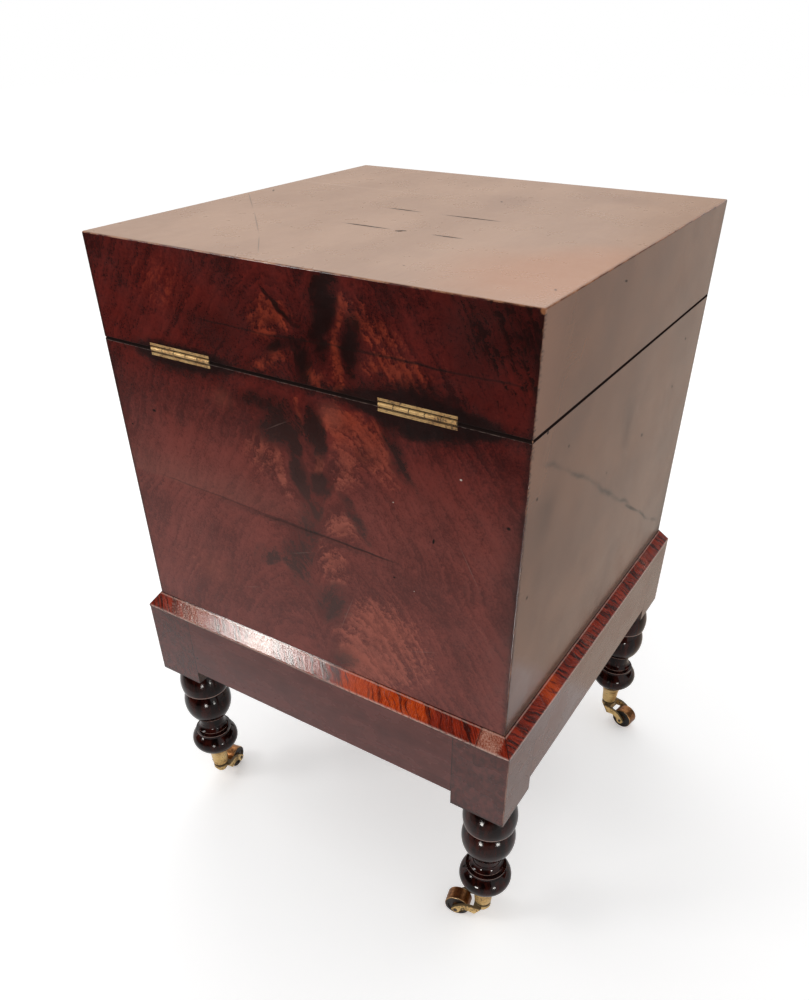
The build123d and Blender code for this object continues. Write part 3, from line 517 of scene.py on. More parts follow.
def left_veneer(f, y, z):
    """The side that the photograph shows. Millimetres from the rear corner and below the top."""
    along, down = HALF_DEPTH - y, TOP - z
    colour, relief = quiet_veneer(f, along, down, 2.9)
    point = f.join(along, down)
    bent = f.join(*warped(f, along, down, 6.4, 14.0))
    scratch = 0.0
    for start, end, half_width, weight in SIDE_SCRATCH:
        scratch = f.line(bent if weight < 1 else point, start, end, half_width) * weight + scratch
    colour = f.mix(f.smooth(scratch, 0.05, 0.8) * 0.75, colour, DEEP_SCRATCH)
    shade = f.smooth(f.spots(bent, SIDE_SHADE), 0.1, 1.0)
    colour = f.mix(shade * 0.55, colour, SIDE_SHADOW)
    dots = f.spots(point, SIDE_DOTS)
    colour = f.mix(f.smooth(dots, 0.2, 1.0) * 0.9, colour, KNOCK)
    # Painted reflection: the left side is lightened high up near its rear edge
    sheen_near_rear = f.smooth(along, 70, 0) * f.smooth(down, 200, 60)
    colour = f.mix(sheen_near_rear * 0.5, colour, SIDE_SHEEN)
    pale = 0.0
    for start, end, half_width in SIDE_RUBS:
        pale = f.line(point, start, end, half_width) + pale
    colour = f.mix(f.smooth(pale, 0.1, 1.0) * 0.3, colour, RUB)
    chips = f.cells(f.join(along * 0.16, down * 0.5), 1.0)
    worn = f.smooth(f.from_edge(along, 2 * HALF_DEPTH) + chips * 9, 9.5, 2.0)
    colour = f.mix(worn * 0.6, colour, WEAR_AND_SHADOW_DARK)
    # Painted reflection: a dark streaky band along the foot of the side, where the moulding shows in the
    # polish
    foot = f.smooth(down + (chips - 0.5) * 8.0, 394, 404)
    worm = f.stretched(along, down, 1.0, (0.10, 0.16, 7.7), 3.0, 0.6)
    frayed = scratch + (worm - 0.5) * f.smooth(scratch, 0.0, 0.2) * 0.9
    # The marks carry the painted reflection at the foot and the painted shade, besides scratches, knocks
    # and wear
    marks = f.smooth(frayed, 0.0, 1.3) * 0.36 + shade * 0.14 + f.smooth(dots, 0.3, 1.2) * 0.6 \
        + worn * 0.30 + foot * 0.40
    return colour, relief, marks


def right_veneer(f, y, z):
    """The hidden side."""
    along, down = y + HALF_DEPTH, TOP - z
    colour, relief = quiet_veneer(f, along, down, 8.2)
    worn = f.smooth(f.from_edge(along, 2 * HALF_DEPTH), 6, 0)
    return f.mix(worn * 0.5, colour, WEAR_AND_SHADOW_DARK), relief, 0.0


def top_veneer(f, x, y):
    """The faded top, its tone lifted in part as painted reflection. Millimetres from the +X edge and from
    the front edge.
    """
    across, down = HALF_WIDTH - x, y + HALF_DEPTH
    bent_x, bent_y = warped(f, across, down, 3.6, 30.0)
    grain = f.stretched(across, down, 1.0, (0.7, 0.030, 3.1), 3.0, 0.65)
    cloud = f.stretched(bent_x, bent_y, 1.0, (0.016, 0.007, 3.1), 3.0, 0.55)
    # Painted reflection in part: the wood tone is paler than the bare faded wood
    colour = f.mix(f.smooth(cloud, 0.3, 0.72), *TOP_WOOD_WITH_SHEEN)
    colour = f.mix(f.smooth(grain, 0.45, 0.8) * 0.3, colour, TOP_GRAIN)
    bent = f.join(bent_x, bent_y)
    shade = f.smooth(f.spots(bent, TOP_SHADE), 0.1, 0.9)
    colour = f.mix(shade * 0.35, colour, TOP_SHADOW)
    colour = f.mix(f.smooth(f.spots(bent, TOP_GLOW), 0.15, 1.1) * 0.75, colour, TOP_ORANGE)
    point = f.join(across, down)
    broken = f.stretched(across, down, 1.0, (0.16, 0.4, 1.3), 4.0, 0.7)
    cracks = 0.0
    for start, end, weight in TOP_CRACKS:
        frayed = f.line(point, start, end, 3.4) + (broken - 0.5) * 0.6
        cracks = f.smooth(frayed, 0.25, 0.75) * weight + cracks
    cracks = cracks + f.smooth(f.spots(point, TOP_CHIP), 0.2, 0.9)
    colour = f.mix(cracks * 0.7, colour, TOP_CRACK)
    hair = 0.0
    for start, end, half_width in TOP_HAIRLINE:
        hair = f.line(point, start, end, half_width) + hair
    hair = f.smooth(hair, 0.0, 0.7)
    colour = f.mix(hair * 0.6, colour, TOP_HAIR)
    nicks = f.smooth(f.spots(point, TOP_NICKS), 0.1, 0.8)
    colour = f.mix(nicks * 0.7, colour, TOP_NICK)
    strip = f.smooth(abs(down - 143.0), 3.5, 0.0) * f.smooth(across, 250, 140) * 0.35
    colour = f.mix(strip, colour, TOP_STRIP)
    inward = f.math("MINIMUM", f.from_edge(across, 2 * HALF_WIDTH), f.from_edge(down, 2 * HALF_DEPTH))
    rim = f.smooth(inward + (broken - 0.5) * 4.0, 3.5, 0.0)
    colour = f.mix(rim * 0.55, colour, TOP_RIM)
    marks = cracks * 0.70 + hair * 0.12 + nicks * 0.4 + shade * 0.05
    return colour, grain * 0.4 - cracks * 2.0 + cloud * 0.4, marks


def plain_timber(f, x, y, z, seed):
    """Straight-grained mahogany under the veneer and inside the case, its grain along the first way."""
    grain = f.noise(f.join(x * 0.012, y * 0.22 + seed, z * 0.22), 1.0, 4.0, 0.65)
    pores = f.smooth(f.noise(f.join(x * 0.12, y * 1.6 + seed, z * 1.6), 1.0, 2.0, 0.6), 0.62, 0.75)
    colour = f.mix(f.smooth(grain, 0.3, 0.7), *TIMBER)
    return f.mix(pores * 0.4, colour, TIMBER_PORE)


def board(name, veneer, facing_axis, facing_sign, seed):
    """A veneered board: the veneer on its outer face, timber on the others."""
    f = Finish(name)
    x, y, z = f.split(f.place())
    along, through = (x, y) if facing_axis == 1 else (y, x)
    outward = f.facing()[facing_axis] * facing_sign
    outer, beside = f.smooth(outward, 0.35, 0.75), f.smooth(outward, 0.1, 0.4)
    colour, relief, marks = veneer(f, along, z)
    face = f.mix(outer, plain_timber(f, along, through, z, seed), colour)
    arris = f.smooth(outward, 0.995, 0.9) * beside
    wear = f.noise(f.place(), 0.05, 4.0, 0.7)
    face = f.mix(arris * f.smooth(wear, 0.45, 0.7) * 0.7, face, ARRIS)
    # Painted shade: the chamfered gap below the lid is painted nearly black and dulled
    seam_shade = f.smooth(abs(z - SEAM), 1.9, 1.3) * beside
    face = f.mix(seam_shade * 0.92, face, SEAM_SHADE)
    # Painted highlight, partly rubbed wear: a pale dotted line along the edge just below the seam
    dotted = f.smooth(f.noise(f.place(), 0.35, 3.0, 0.7), 0.40, 0.60)
    seam_highlight_and_rub = f.smooth(abs(z - SEAM + 1.9), 0.40, 0.10) * dotted
    face = f.mix(seam_highlight_and_rub * outer * 0.40, face, SEAM_HIGHLIGHT_AND_RUB)
    dull = f.smooth(outer, 0.0, 1.0, 0.3, 0.0) + seam_shade * 0.75
    # The grime mask carries the painted shade of the gap as well as the board's marks
    grime = f.math("MAXIMUM", outer * marks, seam_shade * 0.95, clamp=True)
    return f.done(grime, Base_Color=face, Roughness=f.smeared() + dull,
                  Normal=f.under_polish(relief, 0.10), IOR=POLISH)


def lid_board(name):
    """The top board: faded veneer above, each side's veneer carried up its edges."""
    f = Finish(name)
    x, y, z = f.split(f.place())
    nx, ny, nz = f.facing()
    colour, relief, grime = top_veneer(f, x, y)
    grime = f.smooth(nz, 0.55, 0.8) * grime
    sides = ((rear_veneer, x, ny, 1.0), (front_veneer, x, ny, -1.0), (left_veneer, y, nx, -1.0),
             (right_veneer, y, nx, 1.0))
    for veneer, along, normal, sign in sides:
        side_colour, _, side_marks = veneer(f, along, z)
        shown = f.smooth(normal * sign, 0.55, 0.8)
        colour = f.mix(shown, colour, side_colour)
        grime = shown * side_marks + grime
    colour = f.mix(f.smooth(nz, -0.3, -0.8), colour, plain_timber(f, x, y, z, 2.0))
    wear = f.noise(f.place(), 0.05, 5.0, 0.7)
    arris = f.smooth(nz, 0.985, 0.85) * f.smooth(nz, 0.05, 0.4)
    # Painted highlight with wear: a pale broken line on the top's rounded edges
    colour = f.mix(arris * f.smooth(wear, 0.40, 0.62) * 0.8, colour, TOP_ARRIS_SHEEN_AND_WEAR)
    corner = f.spots(f.join(x, y), [(-HALF_WIDTH, HALF_DEPTH, 5, 5, 0, 2.0)])
    corner = corner * f.smooth(z, TOP - 6, TOP - 2)
    colour = f.mix(f.smooth(corner + (wear - 0.5) * 0.8, 0.3, 1.0) * 0.8, colour, BARE_CORNER)
    rough = f.smeared() + f.smooth(nz, 0.2, 0.8) * 0.10
    return f.done(f.math("MINIMUM", grime, 1.0, clamp=True), Base_Color=colour, Roughness=rough,
                  Normal=f.under_polish(relief, 0.10), IOR=POLISH)


# ---- Stand ----

def crossband(name, along_x, vivid, pale, joints):
    """The sloped moulding: veneer laid across it, its grain aslant, red, pale at both edges with wear and
    painted highlight.
    """
    f = Finish(name)
    x, y, z = f.split(f.place())
    up = f.facing()[2]
    along = STAND_X - x if along_x else STAND_Y - y
    low = z - MOULDING_FOOT
    run = f.join(along, 0.0)
    bend = f.stretched(along, low, 1.0, (0.03, 0.05, 2.0), 2.0)
    slant = along + low * 0.9 + bend * 16.0
    figure = f.stretched(slant, low, 1.0, (0.16, 0.03, 6.0), 4.0, 0.7)
    wood = f.stretched(slant, low, 1.0, (0.65, 0.05, 4.0), 4.0, 0.72)
    fine = f.stretched(along, low, 1.0, (2.2, 0.10, 9.0), 3.0, 0.7)
    mottle = f.stretched(along, z, 1.0, (0.55, 0.7, 3.0), 5.0, 0.75)
    colour = f.mix(f.smooth(wood, 0.40, 0.60), *BAND_WOOD)
    colour = f.mix(f.smooth(figure, 0.46, 0.58) * 0.9, colour, BAND_FIGURE)
    bright = f.spots(run, vivid)
    fire = f.mix(f.smooth(fine, 0.40, 0.60), *FIRE)
    fire = f.mix(f.smooth(figure, 0.50, 0.60) * 0.8, fire, FIRE_FIGURE)
    burning = f.smooth(bright + (wood - 0.5) * 1.2 * f.smooth(bright, 0.0, 0.3), 0.25, 0.7)
    colour = f.mix(burning * 0.95, colour, fire)
    faded = f.spots(run, pale)
    dusty = f.mix(f.smooth(mottle * 0.5 + fine * 0.5, 0.44, 0.56), *DUSTY)
    dusty = f.mix(f.smooth(wood, 0.50, 0.62) * 0.7, dusty, DUSTY_FIGURE)
    worn = f.smooth(faded + (mottle - 0.5) * 1.2 * f.smooth(faded, 0.0, 0.3), 0.25, 0.8)
    colour = f.mix(worn * 0.92, colour, dusty)
    stripe = f.smooth(fine, 0.56, 0.68) * (1.0 - f.smooth(faded, 0.1, 0.6) * 0.7)
    colour = f.mix(stripe * 0.55, colour, BAND_STRIPE)
    cut = 0.0
    for place in joints:
        cut = f.smooth(abs(along - place), 0.9, 0.2) + cut
    colour = f.mix(cut * 0.7, colour, EDGE_GRIME)
    chips = f.stretched(along, z, 1.0, (0.22, 0.5, 1.0), 5.0, 0.75)
    # Painted highlight with wear: pale broken lines along the foot and the crest
    lip_sheen_and_wear = f.smooth(low + (chips - 0.5) * 5.0, 4.0, 2.2)
    colour = f.mix(lip_sheen_and_wear * f.smooth(chips, 0.36, 0.56) * 0.75, colour, BAND_LIP_SHEEN_AND_WEAR)
    colour = f.mix(f.smooth(low, 1.5, 0.4) * 0.9, colour, CREVICE)
    crest_sheen_and_wear = f.smooth(abs(MOULDING_HEAD - z - 1.7 + (chips - 0.5) * 1.2), 0.9, 0.2)
    colour = f.mix(crest_sheen_and_wear * f.smooth(chips, 0.34, 0.5) * 0.6, colour, BAND_CREST_SHEEN_AND_WEAR)
    colour = f.mix(f.smooth(MOULDING_HEAD - z, 1.1, 0.4) * 0.9, colour, BAND_HEAD)
    mitre = f.math("MINIMUM", abs(abs(x) - STAND_X - abs(y) + STAND_Y), 9.0)
    colour = f.mix(f.smooth(mitre, 1.2, 0.3) * 0.8, colour, CREVICE)
    hidden = f.smooth(up, 0.9, 0.99) + f.smooth(up, -0.5, -0.9)
    colour = f.mix(hidden, colour, plain_timber(f, x, y, z, 4.0))
    relief = wood * 0.8 + chips * 0.6 + fine * 0.35 + mottle * 0.4 - cut * 1.5
    streaks = f.smooth(fine * 0.6 + mottle * 0.4, 0.50, 0.58)
    rough = f.smooth(wood, 0.3, 0.75, 0.05, 0.09) + streaks * 0.22
    return f.done(Base_Color=colour, Roughness=rough, IOR=POLISH, Normal=f.bump(relief, 0.12, 0.0006))


def stand_veneer(name, blotched):
    """Rails and corner blocks of the stand, grain along the rail. Shade is painted on its hidden and inner
    faces, and light on its faces that point along x.
    """
    f = Finish(name)
    x, y, z = f.split(f.place())
    nx, ny, nz = f.facing()
    sideways = f.smooth(abs(nx), 0.5, 0.8)
    along = f.node("ShaderNodeMix", {"data_type": "FLOAT"},
                   {0: sideways, 2: STAND_X - x, 3: STAND_Y - y})
    grain = f.stretched(along, z, sideways, (0.018, 0.30, 9.0), 4.0, 0.65)
    cloud = f.stretched(along, z, sideways, (0.02, 0.03, 5.0), 3.0, 0.6)
    fine = f.stretched(along, z, sideways, (0.16, 1.2, 3.0), 3.0, 0.7)
    colour = f.mix(f.smooth(cloud, 0.3, 0.7), *STAND_WOOD)
    colour = f.mix(f.smooth(grain, 0.45, 0.75) * 0.5, colour, STAND_GRAIN)
    colour = f.mix(f.smooth(fine, 0.5, 0.8) * 0.4, colour, STAND_FIBRE)
    # Painted light: faces that point along x get a lighter tone than the others
    lit_side_tone = f.mix(f.smooth(cloud, 0.3, 0.7), *STAND_SIDE_LIT)
    colour = f.mix(sideways * 0.85, colour, lit_side_tone)
    if blotched:
        blotch = f.cells(f.join(along * 0.14, z * 0.10, sideways * 7.0), 1.0, "SMOOTH_F1")
        mottled = f.stretched(along, z, sideways, (0.22, 0.12, 2.0), 4.0, 0.7) - blotch * 0.25
        mottled = f.smooth(mottled, 0.28, 0.5)
        colour = f.mix((1.0 - mottled) * 0.55 * (1.0 - sideways * 0.6), colour, BLOTCH)
    # Painted shade: faces that point down or up, and the inner faces, are painted nearly black
    under = f.smooth(nz, -0.4, -0.85) + f.smooth(nz, 0.6, 0.9)
    inner = f.smooth(ny * y, 0.0, -30.0) * f.smooth(abs(ny), 0.5, 0.8) \
        + f.smooth(nx * x, 0.0, -30.0) * sideways
    shaded_timber = f.mix(0.82, plain_timber(f, x, y, z, 6.0), TIMBER_IN_SHADE)
    colour = f.mix(under + inner, colour, shaded_timber)
    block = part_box("corner_block_rear_left")
    foot = block[0][2] * 1000
    seam_x = f.smooth(abs(abs(x) + block[1][0] * 1000), 0.8, 0.2) * (1.0 - sideways)
    seam_y = f.smooth(abs(abs(y) - block[0][1] * 1000), 0.8, 0.2) * sideways
    colour = f.mix((seam_x + seam_y) * 0.8, colour, OPEN_SEAM)
    wear = f.noise(f.place(), 0.06, 4.0, 0.7)
    colour = f.mix(f.smooth(z - foot + (wear - 0.5) * 6, 3.5, 0.5) * 0.7, colour, STAND_FOOT)
    upright_edge = f.smooth(abs(nx), 0.2, 0.5) * f.smooth(abs(ny), 0.2, 0.5)
    colour = f.mix(upright_edge * f.smooth(wear, 0.35, 0.6) * 0.8, colour, STAND_ARRIS)
    nicks = f.spots(f.join(along, MOULDING_FOOT - z),
                    [(68, 55, 2.6, 1.8, 0, 2.5), (236, 26, 3.0, 1.2, 0, 1.2)])
    colour = f.mix(f.smooth(nicks, 0.2, 0.9) * 0.8, colour, STAND_NICK)
    rough = f.smooth(cloud, 0.3, 0.75, 0.22, 0.32)
    return f.done(Base_Color=colour, Roughness=rough,
                  Normal=f.under_polish(grain * 0.6 + fine * 0.4, 0.12), IOR=POLISH)


# The leg's turned edges: height above its foot, half width of the pale line of painted glint and wear
SHARP_LIPS = [(70.7, 1.2), (117.7, 1.2), (150.4, 0.9)]
FILLETS = [(40.9, 0.7), (44.6, 0.7)]


def turned_leg():
    """Almost black polish over turned mahogany, with pale lines on the sharp lips, painted glint and rubbed
    wear.
    """
    f = Finish("turned leg, dark polish")
    place = f.place()
    x, y, z = f.split(place)
    streak = f.noise(f.join(x * 0.12, y * 0.12, z * 0.02), 1.0, 4.0, 0.65)
    colour = f.mix(f.smooth(streak, 0.38, 0.72), *LEG_WOOD)
    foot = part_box("leg_rear_left")[0][2] * 1000
    wear = f.noise(place, 0.09, 4.0, 0.65)
    upright = f.smooth(abs(f.facing()[2]), 0.8, 0.3)
    # Painted highlight with wear: pale lines on the lips and fillets
    lip_glint_and_wear = 0.0
    for level, half in SHARP_LIPS:
        lip_glint_and_wear = f.smooth(abs(z - (foot + level)), half, 0.1) + lip_glint_and_wear
    for level, half in FILLETS:
        lip_glint_and_wear = f.smooth(abs(z - (foot + level)), half, 0.1) * upright * 0.7 + lip_glint_and_wear
    colour = f.mix(lip_glint_and_wear * f.smooth(wear, 0.24, 0.50) * 0.75, colour, LEG_LIP_GLINT_AND_WEAR)
    dust = f.noise(place, 0.12, 4.0, 0.7)
    rough = f.smooth(dust, 0.3, 0.75, 0.07, 0.18)
    lathe = f.noise(f.join(0.0, 0.0, z * 1.1), 1.0, 3.0, 0.6)
    ripple = f.noise(f.join(x * 0.045, y * 0.045, z * 0.07), 1.0, 2.0, 0.5)
    bumped = f.bump(lathe, 0.08, 0.0004, f.bump(ripple, 0.35, 0.0016))
    return f.done(Base_Color=colour, Roughness=rough, Normal=bumped, IOR=POLISH, Specular_IOR_Level=0.22)


# ---- Metal ----

def old_metal(name, bright, dull, dirt_and_shade, amount, roughness, metallic=1.0, marks=None):
    """Handled metal: tarnish in clouds, dirt in small spots, fine scratches, and any marks it is given,
    which can paint shade.
    """
    f = Finish(name)
    place = f.place()
    cloud = f.noise(place, 0.07, 4.0, 0.6)
    spot = f.noise(place, 0.45, 4.0, 0.7)
    scratch = f.noise(f.vector("MULTIPLY", place, (0.3, 1.8, 2.4)), 1.0, 2.0, 0.6)
    colour = f.mix(f.smooth(cloud, 0.3, 0.7), bright, dull)
    grime = f.smooth(spot + (cloud - 0.5) * 0.6, 0.62 - amount * 0.3, 0.80 - amount * 0.3)
    # Marks can carry painted shade, drawn in the dirty colour
    if marks:
        grime = f.math("MAXIMUM", grime, marks(f, place), clamp=True)
    colour = f.mix(grime * 0.85, colour, dirt_and_shade)
    rough = f.smooth(cloud, 0.3, 0.75, roughness, roughness + 0.16) + grime * 0.25
    metal = f.smooth(grime, 0.0, 1.0, metallic, metallic * 0.25)
    relief = spot * 0.6 - grime + scratch * 0.3
    return f.done(Base_Color=colour, Metallic=metal, Roughness=rough, Normal=f.bump(relief, 0.25, 0.0003))


def hinge_grime_and_shade(f, place):
    """Painted shade with grime above and below the barrel, and grime between its knuckles and along each
    leaf.
    """
    x, _, z = f.split(place)
    low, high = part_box("hinge_case_leaf_right")
    centre, width = (low[0] + high[0]) * 500, (high[0] - low[0]) * 1000
    knuckle = (x - f.math("SIGN", x) * centre + width / 2) * (5 / width)
    from_seam, barrel, leaf_line = abs(z - SEAM), 2.8, 4.6
    lines = f.smooth(abs(from_seam - barrel), 1.1, 0.4) * 1.2
    lines = lines + f.smooth(abs(from_seam - leaf_line), 0.6, 0.2) * 0.55
    joints = f.smooth(f.math("PINGPONG", knuckle, 0.5), 0.045, 0.015) * f.smooth(from_seam, barrel, 2.2)
    broken = f.noise(f.join(x * 0.16, 0.0, z * 0.5), 1.0, 3.0, 0.6)
    return f.smooth(lines + joints + (broken - 0.5) * 0.8, 0.35, 0.80)


def socket_dirt_and_shade(f, place):
    """Dirt at the top of each castor socket, and painted shade with dirt at its foot, in the gap above the
    horn.
    """
    z = f.split(place)[2]
    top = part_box("leg_rear_left")[0][2] * 1000
    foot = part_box("castor_socket_rear_left")[0][2] * 1000
    return f.smooth(abs(z - top), 2.2, 0.6) * 0.8 + f.smooth(abs(z - foot), 2.6, 0.4) * 0.9


def horn_grease_and_shade(f, place):
    """Grease and painted shade on top of each castor's hub and arms, darkest up under the socket."""
    z = f.split(place)[2]
    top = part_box("castor_socket_rear_left")[0][2] * 1000
    broken = f.noise(place, 0.25, 3.0, 0.7)
    greasy = f.smooth(f.facing()[2] + (broken - 0.5) * 0.6, 0.30, 0.5) * 1.2
    return f.smooth(z + (broken - 0.5) * 7.0, top - 5.0, top - 2.0) + greasy


def castor_wheel(name, axis):
    """Brown brass tread with bright rubbed edges; the sides are painted black, as shade between the arms
    and old grease.
    """
    f = Finish(name)
    place = f.place()
    normal = f.node("ShaderNodeTexCoord", {}, {}, "Normal")
    sideways = abs(f.node("ShaderNodeVectorMath", {"operation": "DOT_PRODUCT"}, {0: normal, 1: axis},
                          "Value"))
    cloud = f.noise(place, 0.16, 4.0, 0.65)
    spot = f.noise(place, 0.6, 4.0, 0.7)
    colour = f.mix(f.smooth(cloud, 0.3, 0.7), *WHEEL_BRASS)
    colour = f.mix(f.smooth(spot, 0.52, 0.7) * 0.6, colour, WHEEL_SPOT)
    rim = f.smooth(sideways, 0.15, 0.5) * f.smooth(sideways, 0.98, 0.75)
    colour = f.mix(rim * f.smooth(cloud, 0.3, 0.6) * 0.8, colour, WHEEL_RIM)
    side = f.smooth(sideways, 0.85, 0.97)
    # Painted shade with grease on the wheel's sides
    colour = f.mix(side * 0.97, colour, WHEEL_SHADE_AND_GREASE)
    metal = f.smooth(side, 0.0, 1.0, 0.95, 0.0)
    rough = f.smooth(cloud, 0.3, 0.7, 0.28, 0.42) + side * 0.12
    return f.done(Base_Color=colour, Metallic=metal, Roughness=rough, Normal=f.bump(spot, 0.3, 0.0003))


def zinc():
    """Dull zinc sheet with a pale bloom."""
    f = Finish("zinc lining")
    place = f.place()
    cloud = f.noise(place, 0.012, 5.0, 0.65)
    bloom = f.cells(place, 0.05, "SMOOTH_F1")
    colour = f.mix(f.smooth(cloud, 0.3, 0.7), *ZINC)
    colour = f.mix(f.smooth(bloom, 0.2, 0.7) * 0.4, colour, ZINC_BLOOM)
    rough = f.smooth(cloud, 0.3, 0.7, 0.42, 0.62)
    return f.done(Base_Color=colour, Metallic=0.85, Roughness=rough, Normal=f.bump(cloud, 0.2, 0.001))


def inner_timber(name, seed, grain_along_y=False):
    """Bare mahogany inside the case."""
    f = Finish(name)
    x, y, z = f.split(f.place())
    colour = plain_timber(f, y, x, z, seed) if grain_along_y else plain_timber(f, x, y, z, seed)
    fuzz = f.noise(f.place(), 0.3, 4.0, 0.7)
    rough = f.smooth(fuzz, 0.3, 0.7, 0.5, 0.7)
    return f.done(Base_Color=colour, Roughness=rough, Normal=f.bump(fuzz, 0.15, 0.0003))


# Keys of the nodes, name, bright, dull and dirty colour, dirt, roughness, metallic, marks; the dirty colour
# also paints the shade that some marks carry
METALS = [
    ("castor_socket", "castor brass, sockets", (0.80, 0.56, 0.24), (0.60, 0.36, 0.12),
     (0.035, 0.022, 0.014), 0.25, 0.26, 0.6, socket_dirt_and_shade),
    ("castor_horn", "castor brass, horns", (0.86, 0.60, 0.25), (0.62, 0.38, 0.13),
     (0.012, 0.008, 0.006), 0.45, 0.30, 0.55, horn_grease_and_shade),
    ("castor_pin", "iron, axles", (0.12, 0.10, 0.09), (0.05, 0.04, 0.035), RUSTY_DIRT, 0.3, 0.35),
    ("hinge_pin", "iron, hinge pins", (0.26, 0.20, 0.13), (0.12, 0.09, 0.06), RUSTY_DIRT, 0.2, 0.35),
    ("hinge_", "hinge brass", (0.74, 0.49, 0.21), (0.48, 0.26, 0.09), (0.016, 0.009, 0.006),
     0.40, 0.42, 0.5, hinge_grime_and_shade),
    ("case_screws lid_screws", "screw brass", (0.70, 0.50, 0.24), (0.45, 0.28, 0.12),
     (0.04, 0.025, 0.015), 0.3, 0.28),
    ("lock_ staple_plate escutcheon", "lock brass", (0.74, 0.55, 0.27), (0.52, 0.35, 0.15),
     (0.05, 0.032, 0.02), 0.2, 0.26),
]


def finishes():
    """The finish for each node, chosen by the start of its name."""
    rear = board("flame veneer, rear", rear_veneer, 1, 1.0, 0.0)
    front = board("flame veneer, front", front_veneer, 1, -1.0, 3.0)
    left = board("side veneer, left", left_veneer, 0, -1.0, 5.0)
    right = board("side veneer, right", right_veneer, 0, 1.0, 7.0)
    sides = {"rear": rear, "front": front, "left": left, "right": right}
    chosen = {"lid_top": lid_board("faded veneer, top")}
    for side, finish in sides.items():
        chosen["case_panel_" + side] = finish
        chosen["lid_rim_" + side] = finish
    chosen["stand_moulding_rear"] = crossband(
        "crossbanding, rear", True,
        [(345, 0, 64, 10, 0, 1.5), (385, 0, 36, 10, 0, 0.4), (300, 0, 30, 10, 0, 0.6)],
        [(470, 0, 18, 10, 0, 1.5), (70, 0, 80, 10, 0, 0.62), (175, 0, 38, 10, 0, 0.9)], [457.5])
    chosen["stand_moulding_left"] = crossband(
        "crossbanding, left", False, [(110, 0, 30, 10, 0, 1.0), (330, 0, 40, 10, 0, 0.3)],
        [(210, 0, 36, 10, 0, 0.4), (400, 0, 60, 10, 0, 0.4)], [88.0, 176.0])
    chosen["stand_moulding_front"] = crossband(
        "crossbanding, front", True, [(180, 0, 50, 10, 0, 1.2)], [(400, 0, 20, 10, 0, 1.0)], [236.0])
    chosen["stand_moulding_right"] = crossband(
        "crossbanding, right", False, [(300, 0, 50, 10, 0, 1.2)], [(90, 0, 20, 10, 0, 1.0)], [150.0, 371.0])
    chosen["stand_rail"] = stand_veneer("stand veneer, rails", False)
    chosen["corner_block"] = stand_veneer("stand veneer, corner blocks", True)
    chosen["leg_"] = turned_leg()
    for joint in frame["joints"]:
        if joint["name"].startswith("castor_roll_"):
            corner = joint["name"][len("castor_roll_"):]
            label = "brown brass, wheel " + corner.replace("_", " ")
            chosen["castor_wheel_" + corner] = castor_wheel(label, joint["axis"])
    for keys, *metal in METALS:
        chosen.update(dict.fromkeys(keys.split(), old_metal(*metal)))
    chosen["zinc_liner"] = zinc()
    chosen["case_floor"] = inner_timber("inner timber, floor", 1.0)
    chosen["divider_across"] = inner_timber("inner timber, long dividers", 2.0)
    chosen["divider_deep"] = inner_timber("inner timber, deep dividers", 3.0, True)
    return chosen


def dress():
    """Gives each node the finish whose key fits most of its name."""
    chosen = finishes()
    for name, obj in nodes.items():
        key = max((key for key in chosen if name.startswith(key)), key=len)
        obj.data.materials.clear()
        obj.data.materials.append(chosen[key])


# ---- Studio ----

def make_camera():
    """Stands where the photograph was taken: behind the cellarette, above its left side."""
    tilt, roll, heading = 53.322, 0.205, -147.772
    data = bpy.data.cameras.new("camera")
    data.lens = 29.343
    data.sensor_width = 36.0
    data.shift_x = -0.00263
    data.shift_y = 0.11634
    camera = bpy.data.objects.new("camera", data)
    camera.location = (-0.4602, 0.7662, TOP / 1000 + 0.164)
    camera.rotation_euler = Euler((math.radians(tilt), math.radians(roll), math.radians(heading)))
    bpy.context.scene.collection.objects.link(camera)
    bpy.context.scene.camera = camera


def flat_card(name, corners, material):
    """A flat sheet of the studio."""
    data = bpy.data.meshes.new(name)
    data.from_pydata(corners, [], [(0, 1, 2, 3)])
    card = bpy.data.objects.new(name, data)
    bpy.context.scene.collection.objects.link(card)
    data.materials.append(material)
    return card


def level_card(name, low, high, level, material):
    """A flat card parallel to the floor, between two corners."""
    corners = [(low[0], low[1]), (high[0], low[1]), (high[0], high[1]), (low[0], high[1])]
    return flat_card(name, [(*corner, level) for corner in corners], material)


def upright_card(name, start, end, bottom, top, material):
    """A flat card that stands on the line between two points."""
    return flat_card(name, [(*start, bottom), (*end, bottom), (*end, top), (*start, top)], material)


def seen_paths(f):
    """1 for the camera's own rays, and 1 for those, mirror rays and rays through glass."""
    camera, glossy, through = f.node("ShaderNodeLightPath", {}, {},
                                     ("Is Camera Ray", "Is Glossy Ray", "Is Transmission Ray"))
    return camera, f.math("MAXIMUM", f.math("MAXIMUM", camera, glossy), through)


def make_floor():
    """White to the eye, and it keeps the cellarette's shadow."""
    f = Finish("pale floor")
    camera, seen = seen_paths(f)
    colour = f.mix(seen, (0.80, 0.80, 0.80), (0.95, 0.95, 0.95))
    lift = f.mix(camera, BLACK, (0.27, 0.27, 0.27))
    material = f.done(Base_Color=colour, Roughness=1.0, Specular_IOR_Level=0.0, Emission_Color=lift,
                      Emission_Strength=1.0)
    level_card("floor", (-12.0, -12.0), (12.0, 12.0), 0.0, material)


def glow(shade, strength=1.0, finish=None):
    """A card's light: one shade, or one that varies over the finish it comes from."""
    f = finish or Finish("card light")
    return f.done(Base_Color=BLACK, Roughness=1.0, Specular_IOR_Level=0.0, Emission_Color=shade,
                  Emission_Strength=strength)


def for_polish(card):
    """Only the polish reflects it, as a studio hangs cards to keep glare off a surface."""
    card.visible_camera = False
    card.visible_diffuse = False
    card.visible_shadow = False


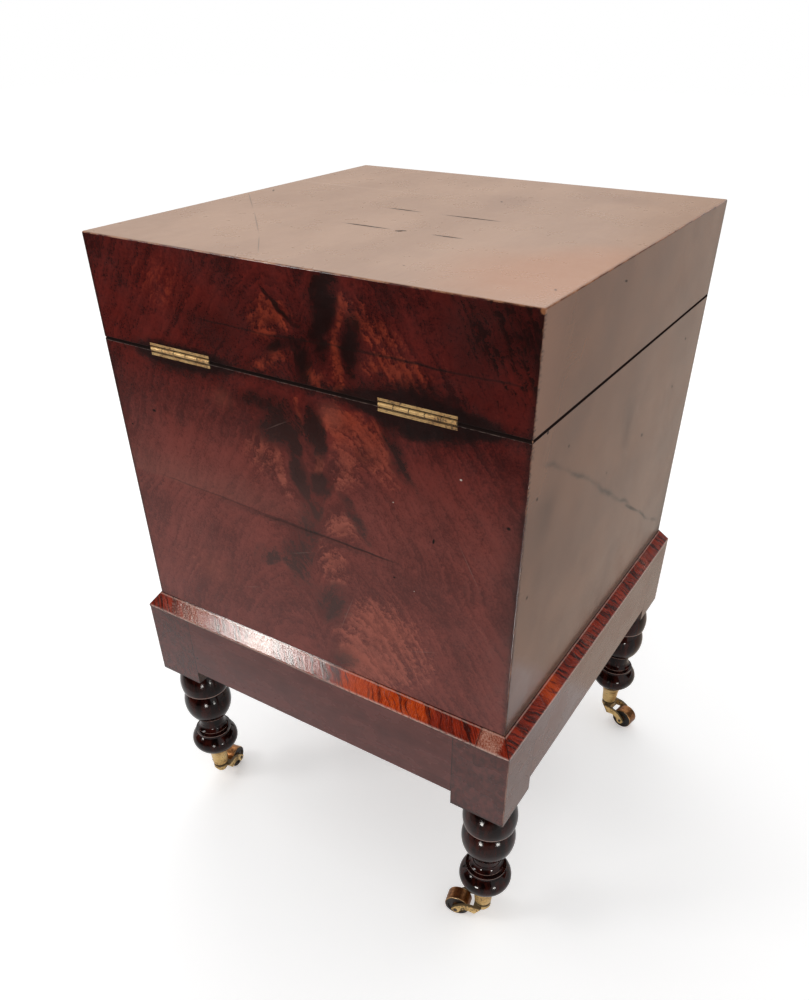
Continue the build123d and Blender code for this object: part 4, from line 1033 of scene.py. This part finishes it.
def pane(name, middle, width, height, strength):
    """A small bright card that faces the cellarette, for the window light in its polish."""
    middle = Vector(middle)
    across = Vector((middle.y - 0.2, -middle.x, 0.0)).normalized() * width / 2
    start, end = middle - across, middle + across
    half = height / 2
    for_polish(upright_card(name, start[:2], end[:2], middle.z - half, middle.z + half,
                            glow(WINDOW_LIGHT, strength)))


def make_cards():
    """What the polish sees around it. The floor behind the camera darkens with distance."""
    f = Finish("dusky_floor_card")
    distance = f.split(f.place())[1]
    dusk = glow(f.mix(f.smooth(distance, 520, 1500), (0.56, 0.50, 0.48), CARD_DARK), finish=f)
    for_polish(level_card("dusky_floor_card", (-4.0, 0.5), (4.0, 2.2), 0.002, dusk))
    for_polish(upright_card("dark_wall_card", (-3.0, 2.2), (5.0, 2.2), 0.0, 7.0, glow(CARD_DARK)))
    for_polish(upright_card("dark_side_card", (-2.7, -0.8), (-1.1, -3.0), 0.37, 2.2, glow(CARD_DARK)))
    for_polish(level_card("warm_floor_card", (-1.9, -6.0), (0.0, -0.25), 0.002, glow((0.66, 0.58, 0.50))))
    for_polish(upright_card("warm_wall_card", (3.4, -0.8), (-0.2, -3.8), 0.9, 2.2,
                            glow((0.60, 0.51, 0.44))))
    pane("pane_above", (1.01, 1.50, 0.95), 0.27, 0.20, 28.0)
    pane("pane_near", (-0.19, 0.79, 0.055), 0.11, 0.09, 46.0)
    pane("pane_left", (-0.84, 0.54, 0.055), 0.13, 0.09, 46.0)


def make_world():
    """Plain white to the eye, a little dimmer as a light."""
    world = bpy.data.worlds.new("white room")
    f = Finish("white room", world)
    strength = f.smooth(seen_paths(f)[1], 0.0, 1.0, 0.80, 1.0)
    sky = f.node("ShaderNodeBackground", {}, {"Color": (1.0, 1.0, 1.0), "Strength": strength})
    end = f.tree.nodes.new("ShaderNodeOutputWorld")
    f.tree.links.new(sky.socket, end.inputs["Surface"])
    bpy.context.scene.world = world


def softbox(name, place, aim, size, radiance):
    """An area lamp whose face has the given brightness."""
    data = bpy.data.lights.new(name, "AREA")
    data.shape = "RECTANGLE"
    data.size, data.size_y = size
    data.energy = radiance * math.pi * size[0] * size[1]
    lamp = bpy.data.objects.new(name, data)
    lamp.location = place
    lamp.rotation_euler = (Vector(aim) - Vector(place)).to_track_quat("-Z", "Y").to_euler()
    bpy.context.scene.collection.objects.link(lamp)


def make_lights():
    """Soft light from beyond the front, and a lamp above the rear."""
    top = Vector((0.0, 0.0, TOP / 1000))
    softbox("window beyond the front", top + 2.6 * Vector((0.50, -0.66, 0.56)), top, (2.2, 1.5), 1.1)
    softbox("lamp above the rear", Vector((1.40, 1.50, 1.49)), (0.10, 0.24, 0.33), (0.56, 0.30), 15.0)


dress()
make_camera()
make_floor()
make_cards()
make_world()
make_lights()

bpy.context.scene.view_settings.view_transform = "Standard"
